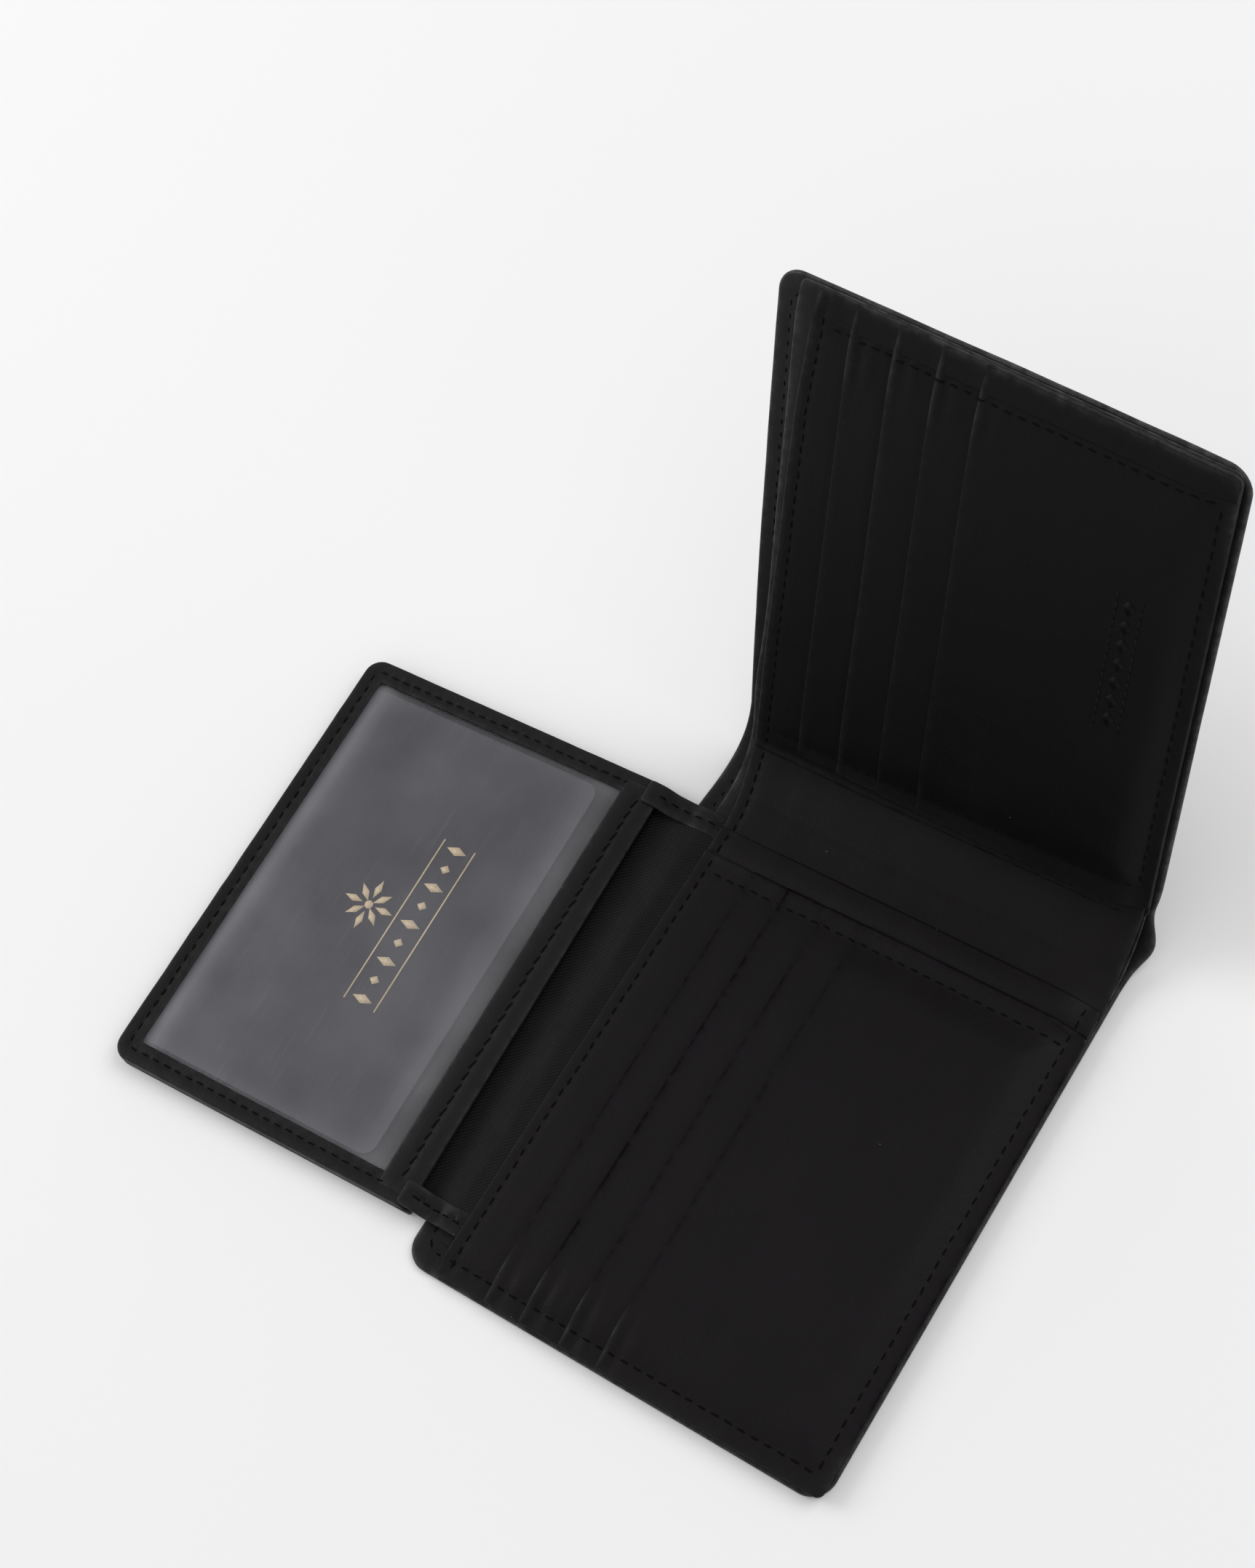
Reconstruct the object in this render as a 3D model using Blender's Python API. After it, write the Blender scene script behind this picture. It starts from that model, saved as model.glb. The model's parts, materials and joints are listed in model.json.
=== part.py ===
"""Leather billfold with a fold-out card flap, built as separate sewn layers.

The wallet lies open.  Its lower panel rests on the floor, the spine turns up behind
it, and the upper panel stands behind the spine, leaning back.  A narrow cloth hinge
joins a card flap to the left side of the lower panel.

Layout axes: X runs along the spine fold, with x = 0 at the left hem of the card
panels and the flap at -X.  Y runs from the lower panel's free edge (-Y) to the
spine, with y = 0 at the lower spine crease.  Z is up from the floor.  The whole
model is moved at the end, so that the origin is under the middle of its outline.
"""
import bmesh
import bpy
from math import cos, exp, pi, radians, sin
from mathutils import Vector

MM = 0.001

# ---- Driving dimensions ------------------------------------------------------
GAP = 0.3 * MM                # air left between layers that touch
SHELL_THICK = 1.2 * MM        # outer leather with its turned edge
LINING_THICK = 0.6 * MM       # cloth lining and bill divider
LEAF_THICK = 0.45 * MM        # one leaf of the card panels

SHELL_LEFT = -7.8 * MM
SHELL_RIGHT = 83.2 * MM
SHELL_CORNER = 5.0 * MM       # corner radius of the outer leather
LINING_INSET = 0.9 * MM       # lining stops short of the leather's edge
DIVIDER_LEFT = -3.6 * MM
PANEL_RIGHT = 82.2 * MM       # right edge of the card panels
PANEL_CORNER = 1.5 * MM

LOWER_LENGTH = 108.3 * MM     # lower crease to free edge, along the outer leather
LOWER_PANEL_START = 11.0 * MM
LOWER_PANEL_END = 107.0 * MM
STRIP_START = 5.2 * MM        # leather strip between the card panel and the spine
LOWER_SLOTS = [10.9 * MM, 18.8 * MM, 27.6 * MM, 35.8 * MM]

UPPER_LENGTH = 103.7 * MM     # upper crease to top edge, along the outer leather
UPPER_PANEL_END = 103.4 * MM
UPPER_SHELL_LEFT = -5.4 * MM  # left edge of the outer leather at the upper crease
UPPER_SPLAY = 3.6 * MM        # how much further left that edge is at the top
UPPER_DIVIDER_LEFT = -2.2 * MM
UPPER_SLOTS = [8.2 * MM, 17.2 * MM, 26.1 * MM, 34.9 * MM]
LEAN_LEFT = radians(65.1)     # slope of the upper panel at its left edge
LEAN_RIGHT = radians(69.9)    # and at its right edge: the leather twists a little
BASE_Y = 10.6 * MM            # foot line of the upper card panel
BASE_Z_LEFT = 8.6 * MM
BASE_Z_RIGHT = 10.7 * MM
BACK_SLACK = 2.4 * MM         # how far the outer leather stands off near the spine
SLACK_FADE = 28.0 * MM        # distance up the panel over which that dies away

LOWER_CREASE_Z = 6.5 * MM
CREASE_CLEAR = 0.3 * MM       # layers stop this far short of a crease
SPINE_ARC_END = radians(-78)  # where the rigid part of the spine leather ends
BEND_START_GAP = 0.04         # angle left between that end and the bend, in radians
BEND_TOP_GAP = 0.06           # angle left between the bend and the upper panel
SPINE_LINING_END = 8.4 * MM
SPINE_LINING_RISE = 3.2 * MM

FLAP_WIDTH = 71.3 * MM
FLAP_HEIGHT = 98.0 * MM
FLAP_EDGE_X = -12.7 * MM      # side of the flap next to the cloth hinge
FLAP_MIDDLE_Y = -51.7 * MM
FLAP_TURN = radians(1.9)      # the flap lies slightly askew on the floor
FLAP_CORNER = 4.0 * MM
FLAP_BORDER = 4.7 * MM
FLAP_BACK_THICK = 0.9 * MM
FLAP_LINING_THICK = 0.3 * MM
FLAP_LINING_INSET = 1.0 * MM  # lining and film stop short of the flap's edge
FILM_THICK = 0.2 * MM
FRAME_THICK = 0.8 * MM
MOUTH_STRIP_WIDTH = 8.0 * MM
CARD_THICK = 0.4 * MM
CARD_WIDTH = 56.0 * MM
CARD_HEIGHT = 88.0 * MM
CARD_BACK_OFF = 12.6 * MM     # from the flap's mouth edge to the card's edge

HINGE_AXIS_X = -3.0 * MM
HINGE_AXIS_Z = 5.6 * MM
HINGE_START_X = -0.5 * MM
HINGE_CLIMB = 0.6             # share of the strip that slopes up from the flap
HINGE_THICK = 0.35 * MM
TAPE_THICK = 0.6 * MM
TAPE_WIDTH = 8.0 * MM
HINGE_FRONT_Y = -100.3 * MM
HINGE_BACK_Y = -3.2 * MM

ARC_STEPS = 5                 # straight pieces in a rounded corner
CELLS = 6                     # divisions that let a leaf follow the twist

# ---- Heights of the layers, measured from the outer face of the leather -------
LINING_BASE = SHELL_THICK + GAP
DIVIDER_BASE = LINING_BASE + LINING_THICK + GAP
BACK_LEAF_BASE = DIVIDER_BASE + LINING_THICK + GAP
BACK_LEAF_TOP = BACK_LEAF_BASE + LEAF_THICK
LEAF_PITCH = LEAF_THICK + GAP
UPPER_CREASE_Z = (BASE_Z_LEFT + BASE_Z_RIGHT) / 2

FLAP_LINING_BASE = FLAP_BACK_THICK + GAP
CARD_BASE = FLAP_LINING_BASE + FLAP_LINING_THICK + GAP
FILM_BASE = CARD_BASE + CARD_THICK + GAP
FRAME_BASE = FILM_BASE + FILM_THICK + GAP

for old in list(bpy.data.objects):
    bpy.data.objects.remove(old, do_unlink=True)


# ---- Materials ----------------------------------------------------------------
def finish(name, colour, roughness, alpha=1.0):
    """A Principled material with one colour and one roughness."""
    material = bpy.data.materials.new(name)
    material.use_nodes = True
    shader = material.node_tree.nodes["Principled BSDF"]
    shader.inputs["Base Color"].default_value = (*colour, 1.0)
    shader.inputs["Roughness"].default_value = roughness
    shader.inputs["Metallic"].default_value = 0.0
    shader.inputs["Alpha"].default_value = alpha
    return material


BLACK_LEATHER = (0.013, 0.012, 0.014)
BLACK_CLOTH = (0.010, 0.010, 0.011)
SLATE_PRINT = (0.085, 0.080, 0.100)
CLEAR_FILM = (0.80, 0.82, 0.85)


def leather(name):
    """Smooth black leather."""
    return finish(name + "_leather", BLACK_LEATHER, 0.45)


def cloth(name):
    """Black lining cloth."""
    return finish(name + "_cloth", BLACK_CLOTH, 0.7)


# ---- Mesh helpers ---------------------------------------------------------------
def rounded_outline(u0, u1, w0, w1, radii):
    """Corners of a rectangle, with radii in the order u0w0, u1w0, u1w1, u0w1."""
    corners = [(u0, w0, 1, 1, pi), (u1, w0, -1, 1, 1.5 * pi),
               (u1, w1, -1, -1, 0.0), (u0, w1, 1, -1, 0.5 * pi)]
    points = []
    for (u, w, du, dw, start), radius in zip(corners, radii):
        if radius == 0:
            points.append((u, w))
            continue
        centre = (u + du * radius, w + dw * radius)
        for step in range(ARC_STEPS + 1):
            angle = start + 0.5 * pi * step / ARC_STEPS
            points.append((centre[0] + radius * cos(angle), centre[1] + radius * sin(angle)))
    return points


def cut_lines(mesh, outline, cells):
    """Divide a flat face into cells, so that it can bend."""
    for axis in (0, 1):
        values = [point[axis] for point in outline]
        low, high = min(values), max(values)
        normal = (1, 0, 0) if axis == 0 else (0, 1, 0)
        for i in range(1, cells):
            place = low + (high - low) * i / cells
            everything = mesh.verts[:] + mesh.edges[:] + mesh.faces[:]
            spot = (place, 0, 0) if axis == 0 else (0, place, 0)
            bmesh.ops.bisect_plane(mesh, geom=everything, plane_co=spot, plane_no=normal)


def sheet(name, outline, low, high, place, cells=1):
    """A layer with this outline between two heights, moved point by point by place."""
    mesh = bmesh.new()
    mesh.faces.new([mesh.verts.new((u, w, low)) for u, w in outline])
    if cells > 1:
        cut_lines(mesh, outline, cells)
    raised = bmesh.ops.extrude_face_region(mesh, geom=mesh.faces[:])["geom"]
    tops = [item for item in raised if isinstance(item, bmesh.types.BMVert)]
    bmesh.ops.translate(mesh, verts=tops, vec=(0, 0, high - low))
    for vertex in mesh.verts:
        vertex.co = place(*vertex.co)
    bmesh.ops.triangulate(mesh, faces=mesh.faces[:])
    bmesh.ops.recalc_face_normals(mesh, faces=mesh.faces[:])
    data = bpy.data.meshes.new(name)
    mesh.to_mesh(data)
    mesh.free()
    return data


def extrusion(name, profile, start, end):
    """A closed profile, whose points are (y, z), drawn out along X."""
    mesh = bmesh.new()
    rings = [[mesh.verts.new((x, y, z)) for y, z in profile] for x in (start, end)]
    mesh.faces.new(rings[0])
    mesh.faces.new(rings[1][::-1])
    for i in range(len(profile)):
        j = (i + 1) % len(profile)
        mesh.faces.new((rings[0][j], rings[0][i], rings[1][i], rings[1][j]))
    bmesh.ops.triangulate(mesh, faces=mesh.faces[:])
    bmesh.ops.recalc_face_normals(mesh, faces=mesh.faces[:])
    data = bpy.data.meshes.new(name)
    mesh.to_mesh(data)
    mesh.free()
    return data


def thick_line(points, thickness):
    """A closed profile that follows a line, with its thickness laid on the upper side."""
    upper = []
    for i, (a, b) in enumerate(points):
        before = points[max(i - 1, 0)]
        after = points[min(i + 1, len(points) - 1)]
        along = Vector((after[0] - before[0], after[1] - before[1])).normalized()
        upper.append((a - along.y * thickness, b + along.x * thickness))
    return points + upper[::-1]


# ---- Joints: an empty on each axis, in the order of the joint tree ----------------
def pivot(name, x, y, z, parent):
    """An empty at a joint's axis, given in layout coordinates."""
    empty = bpy.data.objects.new(name, None)
    bpy.context.scene.collection.objects.link(empty)
    empty.empty_display_size = 0.01
    empty.parent = parent
    empty["place"] = (x, y, z)
    held_at = Vector(parent["place"]) if parent else Vector((0, 0, 0))
    empty.location = Vector((x, y, z)) - held_at
    return empty


WALLET = pivot("wallet", 0, 0, 0, None)
LOWER_CREASE = pivot("lower_crease", 0, 0, LOWER_CREASE_Z, WALLET)
UPPER_CREASE = pivot("upper_crease", 0, BASE_Y, UPPER_CREASE_Z, LOWER_CREASE)
FLAP_HINGE = pivot("flap_hinge", HINGE_AXIS_X, FLAP_MIDDLE_Y, HINGE_AXIS_Z, WALLET)
CARD_GUIDE = pivot("card_guide", FLAP_EDGE_X, FLAP_MIDDLE_Y, CARD_BASE, FLAP_HINGE)


def add(name, data, material, holder):
    """Link a layout-space mesh as one node whose origin is its joint's axis."""
    origin = Vector(holder["place"])
    for vertex in data.vertices:
        vertex.co -= origin
    data.materials.append(material)
    node = bpy.data.objects.new(name, data)
    node.parent = holder
    bpy.context.scene.collection.objects.link(node)
    return node


# ---- Where each panel's own coordinates lie ---------------------------------------
def on_lower(u, w, v):
    """u along the spine, w from the lower crease to the free edge, v up."""
    return Vector((u, -w, v))


def on_upper(u, w, v, slack=0.0, splay=0.0):
    """The same for the upper panel: v counts from its outer face towards the cards."""
    share = u / PANEL_RIGHT
    u -= splay * UPPER_SPLAY * (w / UPPER_LENGTH) * (1 - share)
    lean = LEAN_LEFT + (LEAN_RIGHT - LEAN_LEFT) * share
    foot = Vector((u, BASE_Y, BASE_Z_LEFT + (BASE_Z_RIGHT - BASE_Z_LEFT) * share))
    rise = Vector((0, cos(lean), sin(lean)))
    inward = Vector((0, -sin(lean), cos(lean)))
    stand_off = slack * BACK_SLACK * exp(-w / SLACK_FADE)
    return foot + rise * w + inward * (v - BACK_LEAF_TOP - stand_off)


def on_flap(u, w, v):
    """u from the mouth edge out to the far edge, w from the flap's middle, v up."""
    x, y = -u, w
    return Vector((FLAP_EDGE_X + x * cos(FLAP_TURN) - y * sin(FLAP_TURN),
                   FLAP_MIDDLE_Y + x * sin(FLAP_TURN) + y * cos(FLAP_TURN), v))


# ---- Lower panel --------------------------------------------------------------------
def build_lower_panel():
    """Outer leather, lining, bill divider and the stepped card leaves."""
    shell = rounded_outline(SHELL_LEFT, SHELL_RIGHT, CREASE_CLEAR, LOWER_LENGTH,
                            (0, 0, SHELL_CORNER, SHELL_CORNER))
    add("shell_lower", sheet("shell_lower", shell, 0, SHELL_THICK, on_lower),
        leather("shell_lower"), WALLET)

    lining = rounded_outline(SHELL_LEFT + LINING_INSET, SHELL_RIGHT - LINING_INSET,
                             CREASE_CLEAR, LOWER_LENGTH - LINING_INSET,
                             (0, 0, SHELL_CORNER, SHELL_CORNER))
    add("shell_lining_lower",
        sheet("shell_lining_lower", lining, LINING_BASE, LINING_BASE + LINING_THICK, on_lower),
        cloth("shell_lining_lower"), WALLET)

    divider = rounded_outline(DIVIDER_LEFT, PANEL_RIGHT, CREASE_CLEAR, LOWER_PANEL_END,
                              (0, 0, PANEL_CORNER, PANEL_CORNER))
    add("bill_divider_lower",
        sheet("bill_divider_lower", divider, DIVIDER_BASE, DIVIDER_BASE + LINING_THICK, on_lower),
        cloth("bill_divider_lower"), WALLET)

    strip = rounded_outline(0, PANEL_RIGHT, STRIP_START, LOWER_PANEL_START - GAP, (0, 0, 0, 0))
    add("spine_strip_lower",
        sheet("spine_strip_lower", strip, BACK_LEAF_BASE, BACK_LEAF_TOP, on_lower),
        leather("spine_strip_lower"), WALLET)

    for i, left in enumerate([0.0] + LOWER_SLOTS):
        name = "inner_back_lower" if i == 0 else "card_pocket_lower_%d" % i
        leaf = rounded_outline(left, PANEL_RIGHT, LOWER_PANEL_START, LOWER_PANEL_END,
                               (0, PANEL_CORNER, PANEL_CORNER, PANEL_CORNER if i == 0 else 0))
        base = BACK_LEAF_BASE + i * LEAF_PITCH
        add(name, sheet(name, leaf, base, base + LEAF_THICK, on_lower), leather(name), WALLET)


# ---- Spine --------------------------------------------------------------------------
def spine_line(height, start, end):
    """Flat along the floor from the lower crease, then round the upper crease."""
    radius = UPPER_CREASE_Z - height
    points = [(start, height), (BASE_Y, height)] if start is not None else []
    first = 1 if points else 0
    low = -0.5 * pi if points else SPINE_ARC_END + BEND_START_GAP
    for step in range(first, ARC_STEPS + 1):
        angle = low + (end - low) * step / ARC_STEPS
        points.append((BASE_Y + radius * cos(angle), UPPER_CREASE_Z + radius * sin(angle)))
    return points


def build_spine():
    """The part of the back between the two creases, and the bend above it."""
    outer = spine_line(0, CREASE_CLEAR, SPINE_ARC_END)
    add("spine_shell",
        extrusion("spine_shell", thick_line(outer, SHELL_THICK), SHELL_LEFT, SHELL_RIGHT),
        leather("spine_shell"), LOWER_CREASE)

    inside = spine_line(LINING_BASE, CREASE_CLEAR, SPINE_ARC_END)
    add("spine_shell_lining",
        extrusion("spine_shell_lining", thick_line(inside, LINING_THICK),
                  SHELL_LEFT + LINING_INSET, SHELL_RIGHT - LINING_INSET),
        cloth("spine_shell_lining"), LOWER_CREASE)

    cover = [(CREASE_CLEAR, BACK_LEAF_BASE), (SPINE_LINING_END, BACK_LEAF_BASE + SPINE_LINING_RISE)]
    add("spine_lining",
        extrusion("spine_lining", thick_line(cover, LINING_THICK), 0, PANEL_RIGHT),
        leather("spine_lining"), LOWER_CREASE)

    bend = spine_line(0, None, LEAN_LEFT - 0.5 * pi - BEND_TOP_GAP)
    add("shell_bend",
        extrusion("shell_bend", thick_line(bend, SHELL_THICK), SHELL_LEFT, SHELL_RIGHT),
        leather("shell_bend"), LOWER_CREASE)


# ---- Upper panel --------------------------------------------------------------------
def build_upper_panel():
    """The same layers as the lower panel, leaning back and slightly twisted."""
    def loose(slack, splay):
        return lambda u, w, v: on_upper(u, w, v, slack, splay)

    shell = rounded_outline(UPPER_SHELL_LEFT, SHELL_RIGHT, CREASE_CLEAR, UPPER_LENGTH,
                            (0, 0, SHELL_CORNER, SHELL_CORNER))
    add("shell_upper", sheet("shell_upper", shell, 0, SHELL_THICK, loose(1.0, 1.0), CELLS),
        leather("shell_upper"), UPPER_CREASE)

    lining = rounded_outline(UPPER_SHELL_LEFT + LINING_INSET, SHELL_RIGHT - LINING_INSET,
                             CREASE_CLEAR, UPPER_LENGTH - LINING_INSET,
                             (0, 0, SHELL_CORNER, SHELL_CORNER))
    add("shell_lining_upper",
        sheet("shell_lining_upper", lining, LINING_BASE, LINING_BASE + LINING_THICK,
              loose(0.9, 1.0), CELLS),
        cloth("shell_lining_upper"), UPPER_CREASE)

    divider = rounded_outline(UPPER_DIVIDER_LEFT, PANEL_RIGHT, CREASE_CLEAR, UPPER_PANEL_END,
                              (0, 0, PANEL_CORNER, PANEL_CORNER))
    add("bill_divider_upper",
        sheet("bill_divider_upper", divider, DIVIDER_BASE, DIVIDER_BASE + LINING_THICK,
              loose(0.4, 0.5), CELLS),
        cloth("bill_divider_upper"), UPPER_CREASE)

    for i, left in enumerate([0.0] + UPPER_SLOTS):
        name = "inner_back_upper" if i == 0 else "card_pocket_upper_%d" % i
        leaf = rounded_outline(left, PANEL_RIGHT, CREASE_CLEAR, UPPER_PANEL_END,
                               (0, PANEL_CORNER, PANEL_CORNER, PANEL_CORNER if i == 0 else 0))
        base = BACK_LEAF_BASE + i * LEAF_PITCH
        add(name, sheet(name, leaf, base, base + LEAF_THICK, on_upper, CELLS),
            leather(name), UPPER_CREASE)


# ---- Card flap ------------------------------------------------------------------------
def frame_outline():
    """A leather border on three sides of the window, open towards the hinge."""
    half = FLAP_HEIGHT / 2
    outer = rounded_outline(0, FLAP_WIDTH, -half, half, (0, FLAP_CORNER, FLAP_CORNER, 0))
    inner = [(0, half - FLAP_BORDER), (FLAP_WIDTH - FLAP_BORDER, half - FLAP_BORDER),
             (FLAP_WIDTH - FLAP_BORDER, FLAP_BORDER - half), (0, FLAP_BORDER - half)]
    return outer + inner


def build_flap():
    """Backing, lining, window film, border, mouth strip and the loose card."""
    half = FLAP_HEIGHT / 2
    back = rounded_outline(0, FLAP_WIDTH, -half, half, (0, FLAP_CORNER, FLAP_CORNER, 0))
    add("flap_back", sheet("flap_back", back, 0, FLAP_BACK_THICK, on_flap),
        leather("flap_back"), FLAP_HINGE)

    inset = rounded_outline(GAP, FLAP_WIDTH - FLAP_LINING_INSET,
                            FLAP_LINING_INSET - half, half - FLAP_LINING_INSET,
                            (0, FLAP_CORNER, FLAP_CORNER, 0))
    add("flap_lining",
        sheet("flap_lining", inset, FLAP_LINING_BASE, FLAP_LINING_BASE + FLAP_LINING_THICK,
              on_flap),
        cloth("flap_lining"), FLAP_HINGE)
    add("window_film",
        sheet("window_film", inset, FILM_BASE, FILM_BASE + FILM_THICK, on_flap),
        finish("window_film_clear", CLEAR_FILM, 0.2, 0.35), FLAP_HINGE)
    add("flap_frame",
        sheet("flap_frame", frame_outline(), FRAME_BASE, FRAME_BASE + FRAME_THICK, on_flap),
        leather("flap_frame"), FLAP_HINGE)

    arm = half - FLAP_BORDER - GAP
    mouth = rounded_outline(GAP, MOUTH_STRIP_WIDTH, -arm, arm, (0, 0, 0, 0))
    add("mouth_strip", sheet("mouth_strip", mouth, FRAME_BASE, FRAME_BASE + FRAME_THICK, on_flap),
        leather("mouth_strip"), FLAP_HINGE)

    card = rounded_outline(CARD_BACK_OFF, CARD_BACK_OFF + CARD_WIDTH,
                           -CARD_HEIGHT / 2, CARD_HEIGHT / 2, (PANEL_CORNER,) * 4)
    add("insert_card", sheet("insert_card", card, CARD_BASE, CARD_BASE + CARD_THICK, on_flap),
        finish("insert_card_print", SLATE_PRINT, 0.5), CARD_GUIDE)


def on_hinge(u, w, v):
    """u from the flap's edge (0) to the panel's hem (1), w along the fold, v up."""
    flap_side = FLAP_EDGE_X + GAP - (w - FLAP_MIDDLE_Y) * sin(FLAP_TURN)
    saddle = DIVIDER_BASE + LINING_THICK + GAP
    x = flap_side + (HINGE_START_X - flap_side) * u
    climb = min(u / HINGE_CLIMB, 1.0)
    return Vector((x, w, CARD_BASE + (saddle - CARD_BASE) * climb + v))


def build_hinge():
    """The cloth strip between panel and flap, bound at both ends with leather tape."""
    strip = rounded_outline(0, 1, HINGE_FRONT_Y, HINGE_BACK_Y, (0, 0, 0, 0))
    add("hinge_strip", sheet("hinge_strip", strip, 0, HINGE_THICK, on_hinge, CELLS),
        cloth("hinge_strip"), FLAP_HINGE)

    ends = {"hinge_tape_front": HINGE_FRONT_Y, "hinge_tape_back": HINGE_BACK_Y - TAPE_WIDTH}
    over = HINGE_THICK + GAP
    for name, start in ends.items():
        tape = rounded_outline(0, 1, start, start + TAPE_WIDTH, (0, 0, 0, 0))
        add(name, sheet(name, tape, over, over + TAPE_THICK, on_hinge, CELLS),
            leather(name), FLAP_HINGE)


def stand_over_origin():
    """Move the wallet so that the origin is under the middle of its outline."""
    bpy.context.view_layer.update()
    spots = [node.matrix_world @ vertex.co
             for node in bpy.data.objects if node.type == "MESH"
             for vertex in node.data.vertices]
    for axis in (0, 1):
        values = [spot[axis] for spot in spots]
        WALLET.location[axis] -= (min(values) + max(values)) / 2


build_lower_panel()
build_spine()
build_upper_panel()
build_flap()
build_hinge()
stand_over_origin()
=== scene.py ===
import json
from math import cos, pi, radians, sin

import bpy
import numpy as np
from mathutils import Matrix, Vector


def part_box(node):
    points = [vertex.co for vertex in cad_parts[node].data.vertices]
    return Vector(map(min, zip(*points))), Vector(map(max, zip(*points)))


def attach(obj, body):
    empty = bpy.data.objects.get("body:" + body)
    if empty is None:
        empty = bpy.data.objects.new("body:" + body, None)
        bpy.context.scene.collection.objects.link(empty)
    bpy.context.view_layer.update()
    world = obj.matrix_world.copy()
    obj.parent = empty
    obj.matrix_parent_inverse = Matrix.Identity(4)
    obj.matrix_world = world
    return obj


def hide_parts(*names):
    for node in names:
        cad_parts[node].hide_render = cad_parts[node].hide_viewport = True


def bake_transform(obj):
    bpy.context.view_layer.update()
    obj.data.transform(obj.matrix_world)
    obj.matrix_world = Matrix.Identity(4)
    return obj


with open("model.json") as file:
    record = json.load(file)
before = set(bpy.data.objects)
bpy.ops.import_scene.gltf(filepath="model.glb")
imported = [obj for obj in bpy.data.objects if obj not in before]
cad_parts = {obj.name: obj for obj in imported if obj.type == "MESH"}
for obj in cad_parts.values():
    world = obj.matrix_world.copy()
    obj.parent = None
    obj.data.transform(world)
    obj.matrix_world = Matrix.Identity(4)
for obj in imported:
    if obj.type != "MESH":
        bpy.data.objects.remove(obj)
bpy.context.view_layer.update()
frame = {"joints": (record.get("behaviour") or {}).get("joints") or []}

# Layout used below, in millimetres: x runs along the spine fold, with x = 0 at the left hem of
# the card panels and the flap at -x; y = 0 is the lower spine crease, with the free edge of the
# lower panel at -y; z is up from the floor.  A leaf has its own flat coordinates: u across,
# w from the spine outwards, v up from the outer face of the leather.
MM = 0.001
X, Y, Z = 0, 1, 2
LOW, HIGH = 0, 1
JOINTS = {joint["name"]: joint for joint in frame["joints"]}
CREASE = Vector(JOINTS["lower_crease"]["pos_m"])
UPPER_CREASE = Vector(JOINTS["upper_crease"]["pos_m"])
ORIGIN = np.array((CREASE.x, CREASE.y, 0.0))


def side(node, axis, end):
    """One side of a CAD node's box, in layout millimetres."""
    return (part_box(node)[end][axis] - ORIGIN[axis]) / MM


# ---- Sizes that come from the CAD nodes ----
SHELL_LEFT = side("shell_lower", X, LOW)
SHELL_RIGHT = side("shell_lower", X, HIGH)
SHELL_END = -side("shell_lower", Y, LOW)
SHELL_THICK = side("shell_lower", Z, HIGH)
DIVIDER_LEFT = side("bill_divider_lower", X, LOW)
DIVIDER_BASE = side("bill_divider_lower", Z, LOW)
DIVIDER_TOP = side("bill_divider_lower", Z, HIGH)
LEAF_BASE = side("inner_back_lower", Z, LOW)
LEAF_TOP = side("inner_back_lower", Z, HIGH)
PANEL_RIGHT = side("inner_back_lower", X, HIGH)
PANEL_START = -side("inner_back_lower", Y, HIGH)
PANEL_END = -side("inner_back_lower", Y, LOW)
STRIP_START = -side("spine_strip_lower", Y, HIGH)
POCKETS = (1, 2, 3, 4)
LOWER_SLOTS = [side("card_pocket_lower_%d" % i, X, LOW) for i in POCKETS]
BASE_Y = (UPPER_CREASE.y - CREASE.y) / MM

# ---- The upper panel leans back and twists a little, as its CAD nodes do ----
UPPER_SLOTS = [8.2, 17.2, 26.1, 34.9]
UPPER_END = 103.7
UPPER_PANEL_END = 103.4
UPPER_SHELL_LEFT = -5.4
UPPER_DIVIDER_LEFT = -2.2
UPPER_SPLAY = 3.6
UPPER_LEAF_LEFT = -1.4
UPPER_LEAF_RIGHT = PANEL_RIGHT + 0.7
LEAN_LEFT = radians(65.1)
LEAN_RIGHT = radians(69.9)
BASE_Z_LEFT = 8.6
BASE_Z_RIGHT = 10.7
BACK_SLACK = 2.4
SLACK_FADE = 28.0
CLOSED_SIDE = 9.0       # how far in from the right edge the layers lie close together
TOP_BAND = 98.3

# ---- The flap lies slightly askew beside the lower panel ----
FLAP_TURN = radians(1.9)
FLAP_EDGE_X = -12.7
FLAP_MIDDLE_Y = (JOINTS["flap_hinge"]["pos_m"][Y] - ORIGIN[Y]) / MM
FLAP_WIDTH = 71.3
FLAP_HALF = 49.0
FLAP_BORDER = 4.7
FLAP_RADIUS = 3.6
WINDOW_RADIUS = 0.7
BORDER_PITCH = 0.75
FLAP_SEAM = 2.7         # from the flap's edge in to its row of stitches
BACK_TOP = 1.3          # height of the upper face of the flap's back leather
FRAME_TOP = side("flap_frame", Z, HIGH)
FRAME_BASE = side("flap_frame", Z, LOW)
FILM_TOP = side("window_film", Z, HIGH)
CARD_WIDTH, CARD_HEIGHT = 56.0, 87.0
CARD_INSET = 1.4        # from the card's CAD edge at the mouth to the card as it is drawn
CARD_BASE = side("insert_card", Z, LOW)
CARD_TOP = side("insert_card", Z, HIGH)
HINGE_FRONT = side("hinge_strip", Y, LOW)
HINGE_BACK = side("hinge_strip", Y, HIGH)
CLOTH_INSET = 0.4       # the twill is this much shorter than its CAD node, at each end
TAPE_WIDTH = 5.0

LEAF_PITCH = 0.45       # height gained by each pocket leaf
SLOT_DEPTHS = (0.6, 1.0, 0.65, 0.5)    # how deep the crease along each slot's edge is
TUCK = 1.5              # how far the card leaves come down to the outer leather where sewn
TUCK_WIDTH = 4.2
STITCH_PITCH = 2.7
FIRST_GAP = 0.06        # grid spacing at a rounded edge, and how fast it grows inwards
GAP_GROWTH = 0.35
FAR_AWAY = 1000.0
THINNEST_EDGE = 0.12
RUB_AND_HIGHLIGHT_REACH = 0.6         # how far the edge wear and its painted highlight reach in from an edge
NOISE_CELLS = 64


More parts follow.
